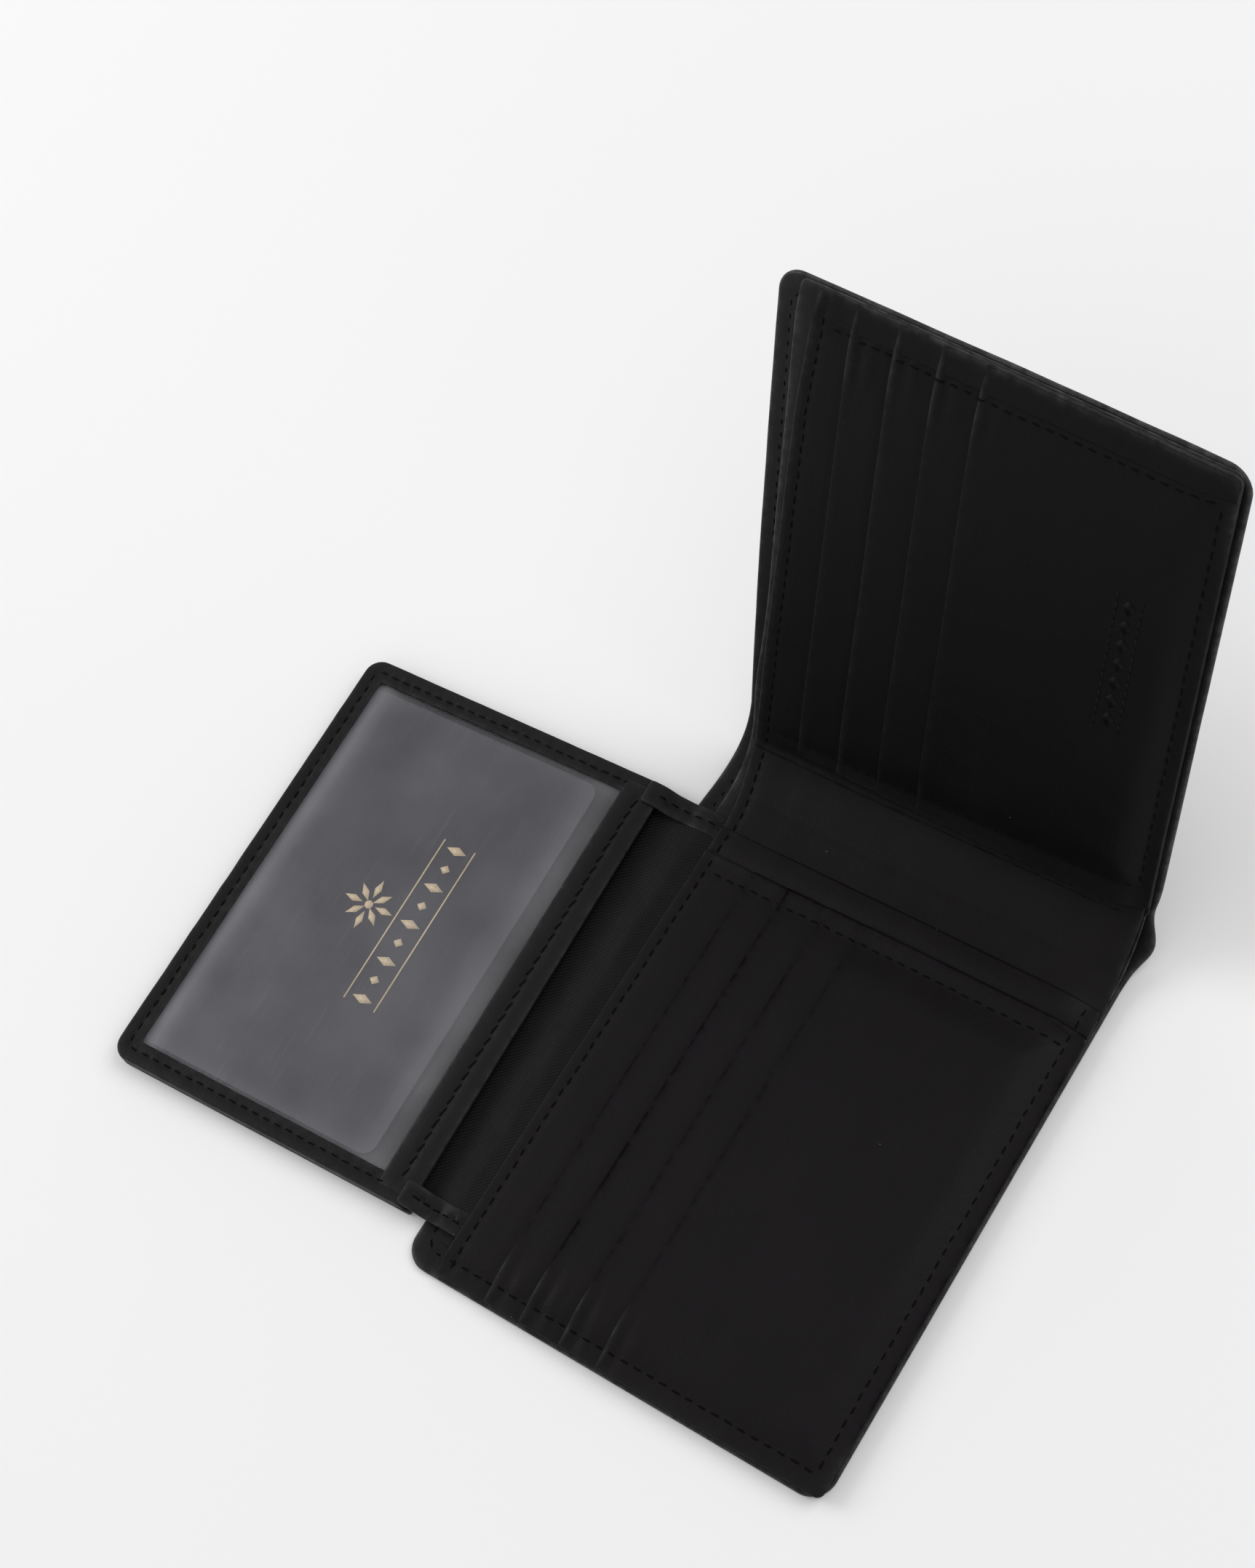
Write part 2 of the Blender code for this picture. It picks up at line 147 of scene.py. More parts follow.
# ---- Mapping flat coordinates to the layout ----
def stack(x, y, z):
    return np.stack(np.broadcast_arrays(x, y, z), axis=-1).astype(float)


def on_lower(u, w, v):
    return stack(u, -w, v)


def upper_axes(u):
    """Foot, rise and inward directions of the upper panel at this u."""
    share = u / PANEL_RIGHT
    lean = LEAN_LEFT + (LEAN_RIGHT - LEAN_LEFT) * share
    foot = stack(u, BASE_Y, BASE_Z_LEFT + (BASE_Z_RIGHT - BASE_Z_LEFT) * share)
    return foot, stack(0, np.cos(lean), np.sin(lean)), stack(0, -np.sin(lean), np.cos(lean))


def on_upper(u, w, v, slack=0.0, splay=0.0):
    u, w, v = np.broadcast_arrays(u, w, v)
    u = u - splay * UPPER_SPLAY * (w / UPPER_END) * (1 - u / PANEL_RIGHT)
    foot, rise, inward = upper_axes(u)
    stand_off = slack * BACK_SLACK * np.exp(-w / SLACK_FADE)
    return foot + rise * w[..., None] + inward * (v - LEAF_TOP - stand_off)[..., None]


def on_flap(u, w, v):
    """u from the mouth outwards, w from the flap's middle towards the spine."""
    return stack(FLAP_EDGE_X - u * cos(FLAP_TURN) - w * sin(FLAP_TURN),
                 FLAP_MIDDLE_Y - u * sin(FLAP_TURN) + w * cos(FLAP_TURN), v)


def crossing(level, start, end, slack, splay, reach, run, end_level=None):
    """A layer from the lower panel round the spine and up the upper panel.

    Along it, s is negative on the lower panel, goes from 0 to run over the spine, and then
    on up the upper panel from w = end.  v is the height above the layer's own level.
    """
    def place(u, s, v):
        u, s, v = np.broadcast_arrays(u, s, v)
        rest = level(u) if callable(level) else level + 0 * u
        flat = stack(u, start + s, rest)
        climb = np.clip(s / run, 0, 1)[..., None]
        rise = upper_axes(u)[1]
        loose = slack * (1 - hump(u - SHELL_RIGHT, CLOSED_SIDE))
        top_rest = rest if end_level is None else end_level + 0 * u
        p0 = stack(u, start + 0 * u, rest)
        p3 = on_upper(u, end + 0 * u, top_rest, loose, splay)
        p1 = p0 + stack(0 * u, reach[0] + 0 * u, 0 * u)
        p2 = p3 - rise * reach[1]
        q = 1 - climb
        curve = q ** 3 * p0 + 3 * q * q * climb * p1 + 3 * q * climb ** 2 * p2 + climb ** 3 * p3
        along = q * q * (p1 - p0) + 2 * q * climb * (p2 - p1) + climb ** 2 * (p3 - p2)
        along[..., X] = 0
        along /= np.linalg.norm(along, axis=-1, keepdims=True)
        normal = stack(0 * u, -along[..., Z], along[..., Y])
        above = on_upper(u, end + s - run, top_rest, loose, splay)
        spot = np.where(s[..., None] < 0, flat, np.where(s[..., None] > run, above, curve))
        return spot + normal * v[..., None]
    return place


# ---- Surface detail ----
def bumps(u, w, pitch, seed, stretch=1.0):
    """Smooth random waves between -1 and 1; stretch makes them longer along w."""
    table = np.random.RandomState(seed).uniform(-1, 1, (NOISE_CELLS, NOISE_CELLS))
    a, b = u / pitch, w / (pitch * stretch)
    i, j = np.floor(a).astype(int), np.floor(b).astype(int)
    f, g = a - i, b - j
    f, g = f * f * (3 - 2 * f), g * g * (3 - 2 * g)
    i0, i1, j0, j1 = i % NOISE_CELLS, (i + 1) % NOISE_CELLS, j % NOISE_CELLS, (j + 1) % NOISE_CELLS
    near = table[i0, j0] * (1 - f) + table[i1, j0] * f
    far = table[i0, j1] * (1 - f) + table[i1, j1] * f
    return near * (1 - g) + far * g


def waves(u, w, *layers):
    """Several bumps together, each given as (height, pitch, seed) and perhaps its stretch."""
    return sum(height * bumps(u, w, *rest) for height, *rest in layers)


def hump(x, width):
    return np.exp(-(x / width) ** 2)


def ramp(x, width):
    """From 0 to 1 as x passes 0."""
    return 1 / (1 + np.exp(-np.clip(x / width, -30, 30)))


def tucked(u, w, end):
    """1 at the sewn right and free edges of a panel, fading to 0 inside."""
    right, far = hump(PANEL_RIGHT - u, TUCK_WIDTH), hump(end - w, TUCK_WIDTH)
    return right + far - right * far


def seam(axis, at, start, end):
    """A straight row of stitches: at constant u or w, between two places along the other."""
    count = max(1, round((end - start) / STITCH_PITCH))
    return {"axis": axis, "at": at, "start": start, "end": end, "count": count,
            "pitch": (end - start) / count}


def seam_at(row, along):
    return row["at"](along) if callable(row["at"]) else row["at"] + 0 * along


def dents(u, w, rows, depth=0.2, width=0.55):
    """The groove that rows of stitches pull into the leather, deepest at the needle holes."""
    total = 0 * u
    for row in rows:
        along, across = (w, u) if row["axis"] == "u" else (u, w)
        away = across - seam_at(row, along)
        within = ramp(along - row["start"] + 0.5, 0.3) * ramp(row["end"] - along + 0.5, 0.3)
        beat = 0.62 + 0.38 * np.cos(2 * pi * (along - row["start"]) / row["pitch"])
        pull = hump(away, width) * beat + 0.35 * hump(away, 3 * width)
        total = total - depth * within * pull
    return total


# ---- Mesh building ----
def grid_lines(low, high, step, rounded=(True, True)):
    """Grid lines from low to high, closer together towards a rounded end."""
    widest = step if callable(step) else lambda here: step
    places = [low]
    while places[-1] < high:
        here = places[-1]
        gap = widest(here)
        if rounded[0]:
            gap = min(gap, FIRST_GAP + GAP_GROWTH * (here - low))
        if rounded[1]:
            gap = min(gap, FIRST_GAP + GAP_GROWTH * (high - here))
        places.append(here + gap)
    return low + (np.array(places) - low) * (high - low) / (places[-1] - low)


def fine_between(start, end, fine, coarse):
    """A grid step that is fine in one zone and coarse elsewhere."""
    return lambda here: fine if start <= here <= end else coarse


def corner_inset(distance, radius):
    inside = np.clip(radius - distance, 0, radius)
    return radius - np.sqrt(np.maximum(radius ** 2 - inside ** 2, 0))


def edge_distance(a, b, radius):
    """Distance to a corner's outline, from the distances to its two sides."""
    rounded = radius - np.hypot(radius - a, radius - b)
    return np.where((a < radius) & (b < radius), rounded, np.minimum(a, b))


def follow(value):
    return value if callable(value) else lambda along: value + 0 * along


def sheet_grid(u_ends, w_ends, radii, u_step, w_step, capped):
    """Grid points of a leaf with rounded corners, and their distance to its outline.

    radii are in the order start left, start right, end left, end right.
    """
    left, right = follow(u_ends[0]), follow(u_ends[1])
    w = grid_lines(*w_ends, w_step, (not capped[0], not capped[1]))
    middle = 0.5 * (w_ends[0] + w_ends[1])
    edges = float(left(middle)), float(right(middle))
    share = (grid_lines(*edges, u_step) - edges[0]) / (edges[1] - edges[0])
    from_start, from_end = w - w_ends[0], w_ends[1] - w
    inner_left = left(w) + corner_inset(from_start, radii[0]) + corner_inset(from_end, radii[2])
    inner_right = right(w) - corner_inset(from_start, radii[1]) - corner_inset(from_end, radii[3])
    u_grid = inner_left[:, None] + (inner_right - inner_left)[:, None] * share
    w_grid = w[:, None] + 0 * u_grid
    return u_grid, w_grid, outline_distance(u_grid, w_grid, u_ends, w_ends, radii, capped)


def outline_distance(u, w, u_ends, w_ends, radii, capped):
    left, right = follow(u_ends[0]), follow(u_ends[1])
    a, b = u - left(w), right(w) - u
    c, d = w - w_ends[0], w_ends[1] - w
    c = c + FAR_AWAY if capped[0] else c
    d = d + FAR_AWAY if capped[1] else d
    pairs = ((a, c), (b, c), (a, d), (b, d))
    return np.minimum.reduce([edge_distance(p, q, r) for (p, q), r in zip(pairs, radii)])


def quads(index):
    return np.stack([index[:-1, :-1], index[:-1, 1:], index[1:, 1:], index[1:, :-1]], -1)


def cap_faces(upper, lower):
    """The flat end between two matching rows, which meet at both ends."""
    faces = []
    for i in range(len(upper) - 1):
        face = [upper[i], upper[i + 1], lower[i + 1], lower[i]]
        faces.append(list(dict.fromkeys(int(k) for k in face)))
    return faces


def add_object(name, data):
    made = bpy.data.objects.new(name, data)
    bpy.context.scene.collection.objects.link(made)
    return made


def link(name, points, faces, material, attributes=None, sharp=()):
    """A piece from layout points, with its per-point attributes."""
    data = bpy.data.meshes.new(name)
    data.from_pydata((np.asarray(points) * MM + ORIGIN).tolist(), [], faces)
    for key, values in (attributes or {}).items():
        values = np.asarray(values, float)
        kind = "FLOAT_VECTOR" if values.ndim == 2 else "FLOAT"
        layer = data.attributes.new(key, kind, "POINT")
        layer.data.foreach_set("vector" if values.ndim == 2 else "value", values.ravel())
    if len(sharp):
        ends = np.zeros(len(data.edges) * 2, int)
        data.edges.foreach_get("vertices", ends)
        marked = np.isin(ends.reshape(-1, 2), np.concatenate(sharp)).all(axis=1)
        data.attributes.new("sharp_edge", "BOOLEAN", "EDGE").data.foreach_set("value", marked)
    data.shade_smooth()
    data.materials.append(material)
    return add_object(name, data)


def thick_sheet(name, place, u, w, distance, top, bottom, edge, material, capped=(False, False),
                rub_and_highlight=None):
    """A closed sheet over a grid, with edges rounded to radius edge.

    capped says whether its start and its end are cut flat instead; worn gives how much its edges are
    lightened, as rubbing and as painted highlight.
    """
    fullness = np.sqrt(1 - (1 - np.clip(distance / edge, 0, 1)) ** 2)
    fullness[:, 0] = fullness[:, -1] = 0
    row_ends = ((0, capped[0]), (-1, capped[1]))
    for row, flat_end in row_ends:
        if not flat_end:
            fullness[row] = 0
    middle, half = (top + bottom) / 2, (top - bottom) / 2
    high = place(u, w, middle + half * fullness)
    low = place(u, w, middle - half * fullness)
    rows, columns = u.shape
    upper = np.arange(rows * columns).reshape(rows, columns)
    free = np.zeros(u.shape, bool)
    free[1:-1, 1:-1] = True
    for row, flat_end in row_ends:
        free[row, 1:-1] = flat_end
    lower = upper.copy()
    lower[free] = rows * columns + np.arange(free.sum())
    outside, inside = quads(upper).reshape(-1, 4), quads(lower)[..., ::-1].reshape(-1, 4)
    faces = np.concatenate([outside, inside]).tolist()
    sharp = []
    for row, flat_end in row_ends:
        if flat_end:
            ends = cap_faces(upper[row], lower[row])
            faces += [face[::-1] for face in ends] if row == 0 else ends
            sharp += [upper[row], lower[row]]
    i, j = rows // 2, columns // 2
    turn = np.cross(high[i, j + 1] - high[i, j], high[i + 1, j] - high[i, j])
    if turn @ (high[i, j] - low[i, j]) < 0:
        faces = [face[::-1] for face in faces]
    flat = np.concatenate([stack(u, w, top).reshape(-1, 3), stack(u, w, bottom)[free]])
    # Edge lightening, partly rubbing and partly painted highlight, fading in from the outline.
    edge_rub_and_highlight = np.exp(-distance / RUB_AND_HIGHLIGHT_REACH) * (1.0 if rub_and_highlight is None else rub_and_highlight(u, w))
    wear_and_highlight = np.concatenate([edge_rub_and_highlight.ravel(), edge_rub_and_highlight[free]])
    points = np.concatenate([high.reshape(-1, 3), low[free]])
    return link(name, points, faces, material, {"flat": flat, "wear_and_highlight": wear_and_highlight}, sharp)


def as_height(value):
    return value if callable(value) else lambda u, w, distance: value + 0 * u


def leaf(name, place, u_ends, w_ends, radii, top, bottom, material, steps, capped=(False, False),
         rub_and_highlight=None):
    """A rounded sheet between two heights, each a number or a function of u, w, edge distance.

    Returns the piece, and two functions that give the point at u, w on its upper and its lower
    face, lifted off it if asked.
    """
    top, bottom = as_height(top), as_height(bottom)
    u, w, distance = sheet_grid(u_ends, w_ends, radii, *steps, capped)
    high, low = top(u, w, distance), bottom(u, w, distance)
    edge = max(THINNEST_EDGE, 0.5 * float(np.median(high - low)))
    piece = thick_sheet(name, place, u, w, distance, high, low, edge, material, capped, rub_and_highlight)

    def surface(a, b, lift=0.0, face=top):
        away = outline_distance(a, b, u_ends, w_ends, radii, capped)
        return place(a, b, face(a, b, away) + lift)

    def under(a, b, lift=0.0):
        return surface(a, b, -lift, bottom)
    return piece, surface, under


# ---- What a piece stands for and moves with ----
def settle(piece, nodes, moves):
    """Hide the CAD nodes a piece stands for and attach it to the body it follows; a bend only has its
    place baked in.
    """
    if nodes:
        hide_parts(*nodes)
    if isinstance(moves, str):
        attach(piece, moves)
    else:
        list(moves)
        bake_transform(piece)


def layout_point(x, y, z):
    return Vector((x, y, z)) * MM + Vector(ORIGIN)


# ---- Stitches ----
STITCH_LENGTH = 1.75
SWAY = 0.05             # how unevenly the stitches lie, in millimetres and in radians
THREAD_SIDES = 6
THREAD_PROFILE = ((-1.0, -0.24, 0.3), (-0.84, -0.08, 0.8), (-0.4, 0.0, 1.0), (0.0, 0.02, 1.0),
                  (0.4, 0.0, 1.0), (0.84, -0.08, 0.8), (1.0, -0.24, 0.3))
THREAD_RADIUS = 0.20
PROBE = 0.4             # how far either side a surface's slope is taken


def row_points(row):
    """Middles and directions of a seam's stitches, in flat coordinates."""
    along = row["start"] + row["pitch"] * (np.arange(row["count"]) + 0.5)
    across = seam_at(row, along)
    rise = (seam_at(row, along + 0.5) - seam_at(row, along - 0.5))
    middles = np.stack([along, across], -1)
    ways = np.stack([np.ones_like(rise), rise], -1)
    if row["axis"] == "u":
        middles, ways = middles[:, ::-1], ways[:, ::-1]
    return middles, ways / np.linalg.norm(ways, axis=1, keepdims=True)


def path_points(corners):
    """Middles and directions of stitches along a bent line of flat points."""
    corners = np.array(corners, float)
    legs = np.linalg.norm(np.diff(corners, axis=0), axis=1)
    walked = np.concatenate([[0], np.cumsum(legs)])
    count = max(1, round(walked[-1] / STITCH_PITCH))
    spots = (np.arange(count) + 0.5) * walked[-1] / count

    def at(distance):
        return np.stack([np.interp(distance, walked, corners[:, k]) for k in (0, 1)], -1)
    ways = at(spots + 0.3) - at(spots - 0.3)
    return at(spots), ways / np.linalg.norm(ways, axis=1, keepdims=True)


def sew(name, surface, runs, moves, seed, length=STITCH_LENGTH, slant=0.0):
    """Every stitch of one seam, as one piece lying on a surface and moving with it."""
    middles = np.concatenate([run[0] for run in runs])
    ways = np.concatenate([run[1] for run in runs])
    random = np.random.RandomState(seed)
    turn = slant + random.normal(0, SWAY, len(middles))
    sideways = np.stack([-ways[:, 1], ways[:, 0]], -1)
    ways = ways * np.cos(turn)[:, None] + sideways * np.sin(turn)[:, None]
    middles = middles + sideways * random.normal(0, SWAY, len(middles))[:, None]
    sideways = np.stack([-ways[:, 1], ways[:, 0]], -1)
    u, w = middles[:, 0], middles[:, 1]

    def step(way, distance):
        return surface(u + way[:, 0] * distance, w + way[:, 1] * distance)
    centre = surface(u, w)
    along = step(ways, PROBE) - step(ways, -PROBE)
    across = step(sideways, PROBE) - step(sideways, -PROBE)
    outward = surface(u, w, 1.0) - centre
    along /= np.linalg.norm(along, axis=1, keepdims=True)
    across -= along * np.sum(across * along, axis=1, keepdims=True)
    across /= np.linalg.norm(across, axis=1, keepdims=True)
    normal = np.cross(along, across)
    normal *= np.sign(np.sum(normal * outward, axis=1))[:, None]
    across = np.cross(normal, along)
    rings, flats = [], []
    half = 0.5 * length * random.uniform(0.92, 1.06, len(middles))
    for share, lift, size in THREAD_PROFILE:
        for k in range(THREAD_SIDES):
            angle = 2 * pi * k / THREAD_SIDES
            radius = THREAD_RADIUS * size
            rings.append(centre + along * (share * half)[:, None]
                         + normal * (lift + radius * cos(angle)) + across * radius * sin(angle))
            flats.append(np.stack([share * half, angle + 0 * half, np.arange(len(half))], -1))
    count = len(THREAD_PROFILE) * THREAD_SIDES
    points = np.stack(rings, axis=1).reshape(-1, 3)
    faces = []
    for first in range(0, len(points), count):
        for ring in range(len(THREAD_PROFILE) - 1):
            a, b = first + ring * THREAD_SIDES, first + (ring + 1) * THREAD_SIDES
            for k in range(THREAD_SIDES):
                n = (k + 1) % THREAD_SIDES
                faces.append((a + n, a + k, b + k, b + n))
        faces.append(tuple(range(first, first + THREAD_SIDES)))
        faces.append(tuple(range(first + count - 1, first + count - THREAD_SIDES - 1, -1)))
    flat = np.stack(flats, axis=1).reshape(-1, 3)
    settle(link(name, points, faces, THREAD, {"flat": flat}), (), moves)


# ---- Materials ----
WAVE_PER_UNIT = 0.3183  # a Wave texture's scale that gives one thread per unit


def node(tree, kind, settings=None, **inputs):
    made = tree.nodes.new(kind)
    for key, value in (settings or {}).items():
        setattr(made, key, value)
    for key, value in inputs.items():
        socket = made.inputs[int(key[1:])] if key[0] == "i" and key[1:].isdigit() \
            else made.inputs[key.replace("_", " ")]
        if isinstance(value, bpy.types.NodeSocket):
            tree.links.new(value, socket)
        else:
            socket.default_value = value
    return made


def maths(tree, operation, a, b=0.0):
    return node(tree, "ShaderNodeMath", {"operation": operation}, i0=a, i1=b).outputs[0]


def mapped(tree, value, low, high, start=0.0, end=1.0):
    """value from start..end turned into low..high, clamped."""
    made = node(tree, "ShaderNodeMapRange", {"clamp": True}, Value=value)
    for key, number in (("From Min", start), ("From Max", end), ("To Min", low), ("To Max", high)):
        made.inputs[key].default_value = number
    return made.outputs[0]


def mix(tree, share, a, b):
    made = node(tree, "ShaderNodeMix", {"data_type": "RGBA"}, i0=share, i6=a, i7=b)
    return made.outputs[2]


def flat_coordinates(tree, scale=(1, 1, 1), turn=0.0):
    """The piece's flat coordinates in millimetres, scaled and turned."""
    read = node(tree, "ShaderNodeAttribute", {"attribute_name": "flat"})
    return node(tree, "ShaderNodeMapping", Vector=read.outputs["Vector"],
                Scale=scale, Rotation=(0, 0, turn)).outputs[0]


def noise(tree, vector, scale, detail=2.0):
    return node(tree, "ShaderNodeTexNoise", Vector=vector, Scale=scale, Detail=detail).outputs[0]


def bump(tree, height, distance, strength=1.0, normal=None):
    made = node(tree, "ShaderNodeBump", Height=height, Distance=distance * MM, Strength=strength)
    if normal is not None:
        tree.links.new(normal, made.inputs["Normal"])
    return made.outputs[0]


def start_material(name):
    material = bpy.data.materials.new(name)
    material.use_nodes = True
    tree = material.node_tree
    return material, tree, tree.nodes["Principled BSDF"]


def dress(tree, shader, colour, roughness, normal=None, specular=None):
    """Link a material's colour, roughness and relief, and set how much it mirrors."""
    links = (("Base Color", colour), ("Roughness", roughness), ("Normal", normal))
    for name, socket in links:
        if socket is not None:
            tree.links.new(socket, shader.inputs[name])
    if specular is not None:
        shader.inputs["Specular IOR Level"].default_value = specular


def plus(tree, a, b):
    return maths(tree, "ADD", a, b)


def times(tree, a, b):
    return maths(tree, "MULTIPLY", a, b)


def grey(red, green=None, blue=None):
    return (red, green or red, blue or red, 1.0)


def leather(name, deep, pale, roughness, specular, grain=1.0, edge=0.022):
    """Smooth black leather: pores, faint streaks, mottling, a little dust, and edges lightened towards the
    edge colour, partly as rubbing and partly as painted highlight.
    """
    material, tree, shader = start_material(name)
    flat = flat_coordinates(tree)
    pores = node(tree, "ShaderNodeTexVoronoi", {"feature": "SMOOTH_F1"}, Vector=flat,
                 Scale=1.7, Smoothness=0.6).outputs["Distance"]
    fine = noise(tree, flat, 3.6, 4.0)
    mottle = noise(tree, flat, 0.07, 4.0)
    streaks = noise(tree, flat_coordinates(tree, (0.9, 0.045, 1), 0.25), 1.0, 3.0)
    rub_and_highlight = node(tree, "ShaderNodeAttribute", {"attribute_name": "wear_and_highlight"}).outputs["Fac"]
    rubbed_and_highlit = times(tree, rub_and_highlight, mapped(tree, noise(tree, flat, 0.5), 0.25, 1.0, 0.35, 0.7))
    colour = mix(tree, mapped(tree, mottle, 0, 1, 0.3, 0.7), deep, pale)
    colour = mix(tree, mapped(tree, streaks, 0, 0.25, 0.5, 0.8), colour, grey(pale[0] * 1.4))
    # Edges lightened by the wear attribute: partly rubbing, partly painted highlight.
    colour = mix(tree, mapped(tree, rubbed_and_highlit, 0, 0.75), colour, grey(edge))
    cells = node(tree, "ShaderNodeTexVoronoi", {}, Vector=flat, Scale=0.16)
    dust = maths(tree, "LESS_THAN", cells.outputs["Distance"], 0.016)
    colour = mix(tree, times(tree, dust, 0.35), colour, grey(0.35))
    rough = plus(tree, mapped(tree, mottle, roughness - 0.035, roughness + 0.035, 0.3, 0.7),
                 mapped(tree, fine, -0.04, 0.06, 0.3, 0.7))
    rough = maths(tree, "SUBTRACT", rough, times(tree, rubbed_and_highlit, 0.16))
    relief = plus(tree, times(tree, pores, 0.6), times(tree, fine, 0.5))
    first = bump(tree, streaks, 0.035, 0.6)
    dress(tree, shader, colour, rough, bump(tree, relief, 0.055 * grain, 0.75, first))
    tree.links.new(mapped(tree, rubbed_and_highlit, 0.1 * specular, specular, -0.45, 0.0),
                   shader.inputs["Specular IOR Level"])
    return material


def woven(name, deep, pale, roughness, pitch, turn, depth, specular):
    """Cloth or linen-pressed card: two crossed sets of threads."""
    material, tree, shader = start_material(name)
    across = flat_coordinates(tree, (1 / pitch, 1 / pitch, 1 / pitch), turn)
    one, two = [node(tree, "ShaderNodeTexWave", {"bands_direction": way}, Vector=across,
                     Scale=WAVE_PER_UNIT, Distortion=0.6, Detail=1.0).outputs["Fac"]
                for way in ("X", "Y")]
    flat = flat_coordinates(tree)
    blotch = noise(tree, flat, 0.12, 3.0)
    fuzz = noise(tree, flat, 5.0, 3.0)
    threads = plus(tree, times(tree, one, 0.75), times(tree, two, 0.25))
    tone = plus(tree, times(tree, threads, 0.6), times(tree, fuzz, 0.4))
    tone = plus(tree, tone, mapped(tree, blotch, -0.07, 0.07, 0.3, 0.7))
    dress(tree, shader, mix(tree, mapped(tree, tone, 0, 1, 0.15, 0.9), deep, pale),
          mapped(tree, fuzz, roughness - 0.08, roughness + 0.08, 0.3, 0.7),
          bump(tree, tone, depth), specular)
    return material


def thread_material():
    material, tree, shader = start_material("sewing_thread")
    flat = flat_coordinates(tree, (3.0, 1.0, 1.0), 0.5)
    twist = node(tree, "ShaderNodeTexWave", {"bands_direction": "X"}, Vector=flat, Scale=1.2,
                 Distortion=0.5).outputs["Fac"]
    # Black thread, made darker than the leather: its own black plus painted shade of the groove it lies
    # in.
    dress(tree, shader, mix(tree, twist, grey(0.0008), grey(0.0032)),
          mapped(tree, twist, 0.55, 0.7), bump(tree, twist, 0.08), 0.12)
    return material


def film_material():
    """Clear film with a milky haze; near its sewn edges it is made milkier and lighter, as haze and as
    painted reflection.
    """
    material, tree, shader = start_material("clear_film")
    flat = flat_coordinates(tree)
    haze = noise(tree, flat, 0.05, 3.0)
    scuffs = noise(tree, flat_coordinates(tree, (1.5, 0.08, 1), 0.6), 1.0, 4.0)
    rim_haze_and_reflection = node(tree, "ShaderNodeAttribute", {"attribute_name": "rim_haze_and_reflection"}).outputs["Fac"]
    cover = plus(tree, mapped(tree, haze, 0.025, 0.055, 0.3, 0.7),
                 mapped(tree, scuffs, 0.0, 0.02, 0.55, 0.8))
    # The rim attribute adds milkiness near the edges: haze and painted reflection.
    tree.links.new(plus(tree, cover, times(tree, rim_haze_and_reflection, 0.10)), shader.inputs["Alpha"])
    dress(tree, shader, mix(tree, haze, grey(0.55, 0.55, 0.60), grey(0.72, 0.72, 0.76)),
          mapped(tree, scuffs, 0.16, 0.30, 0.3, 0.8), bump(tree, haze, 0.5, 0.6), 0.35)
    return material


def ink_material():
    material, tree, shader = start_material("print_ink")
    flat = flat_coordinates(tree)
    rub = noise(tree, flat, 2.4, 4.0)
    gold = mix(tree, mapped(tree, rub, 0, 1, 0.35, 0.65), grey(0.50, 0.39, 0.25),
               grey(0.62, 0.50, 0.34))
    dress(tree, shader, gold, mapped(tree, rub, 0.35, 0.55), bump(tree, rub, 0.02))
    return material


def floor_material():
    material, tree, shader = start_material("floor")
    where = node(tree, "ShaderNodeTexCoord").outputs["Object"]
    soft = noise(tree, where, 2.0, 2.0)
    dress(tree, shader, mix(tree, soft, grey(0.872, 0.868, 0.874), grey(0.892, 0.888, 0.894)),
          mapped(tree, soft, 0.75, 0.85), None, 0.1)
    return material


# Each leather's edge colour is what its rubbed edges lighten to: partly wear, partly painted highlight.
PANEL_LEATHER = leather("panel_leather", grey(0.0040, 0.0030, 0.0038), grey(0.0052, 0.0039, 0.0050),
                        roughness=0.52, specular=0.13)
# The standing panel's leather: the panel leather painted darker as shade, with its edges lightened more as
# painted highlight.
SHADED_UPPER_LEATHER = leather("upper_panel_leather_painted_shade", grey(0.0028, 0.0027, 0.0028),
                        grey(0.0038, 0.0037, 0.0038), roughness=0.52, specular=0.10, edge=0.05)
# Outer leather: its edges are lightened more, as painted highlight along the rim.
OUTER_LEATHER = leather("outer_leather", grey(0.0036, 0.0035, 0.0038), grey(0.0054, 0.0052, 0.0056),
                        roughness=0.46, grain=1.2, specular=0.17, edge=0.08)
FLAP_LEATHER = leather("flap_leather", grey(0.0038), grey(0.0056), roughness=0.50, grain=1.2,
                       specular=0.15, edge=0.03)
LINING = woven("lining_cloth", grey(0.003), grey(0.008), roughness=0.7, pitch=0.45, turn=0.8,
               depth=0.06, specular=0.2)
TWILL = woven("hinge_twill", grey(0.001), grey(0.0085), roughness=0.55, pitch=0.62, turn=0.85,
              depth=0.12, specular=0.12)
CARD = woven("card_print", grey(0.037, 0.0352, 0.0435), grey(0.0435, 0.0416, 0.052),
             roughness=0.6, pitch=0.5, turn=1.2, depth=0.012, specular=0.3)
THREAD = thread_material()
FILM = film_material()
INK = ink_material()


# ---- Pieces common to both panels ----
LOWER_BEND = ("lower_panel", "spine", layout_point(0, -4.5, 0), layout_point(0, 3.5, 0))
RISE = Vector((0, cos(0.5 * (LEAN_LEFT + LEAN_RIGHT)), sin(0.5 * (LEAN_LEFT + LEAN_RIGHT))))
UPPER_FOOT = Vector((0, BASE_Y, 0.5 * (BASE_Z_LEFT + BASE_Z_RIGHT)))
UPPER_BEND = ("spine", "upper_panel", layout_point(*(UPPER_FOOT - RISE * 6.5)),
              layout_point(*(UPPER_FOOT + RISE * 5.0)))


# Puckers beside a slot's edge: distance from the edge, height and width
PUCKERS = ((0.8, 0.42, 0.9), (2.6, -0.16, 1.0), (4.6, 0.16, 1.2))


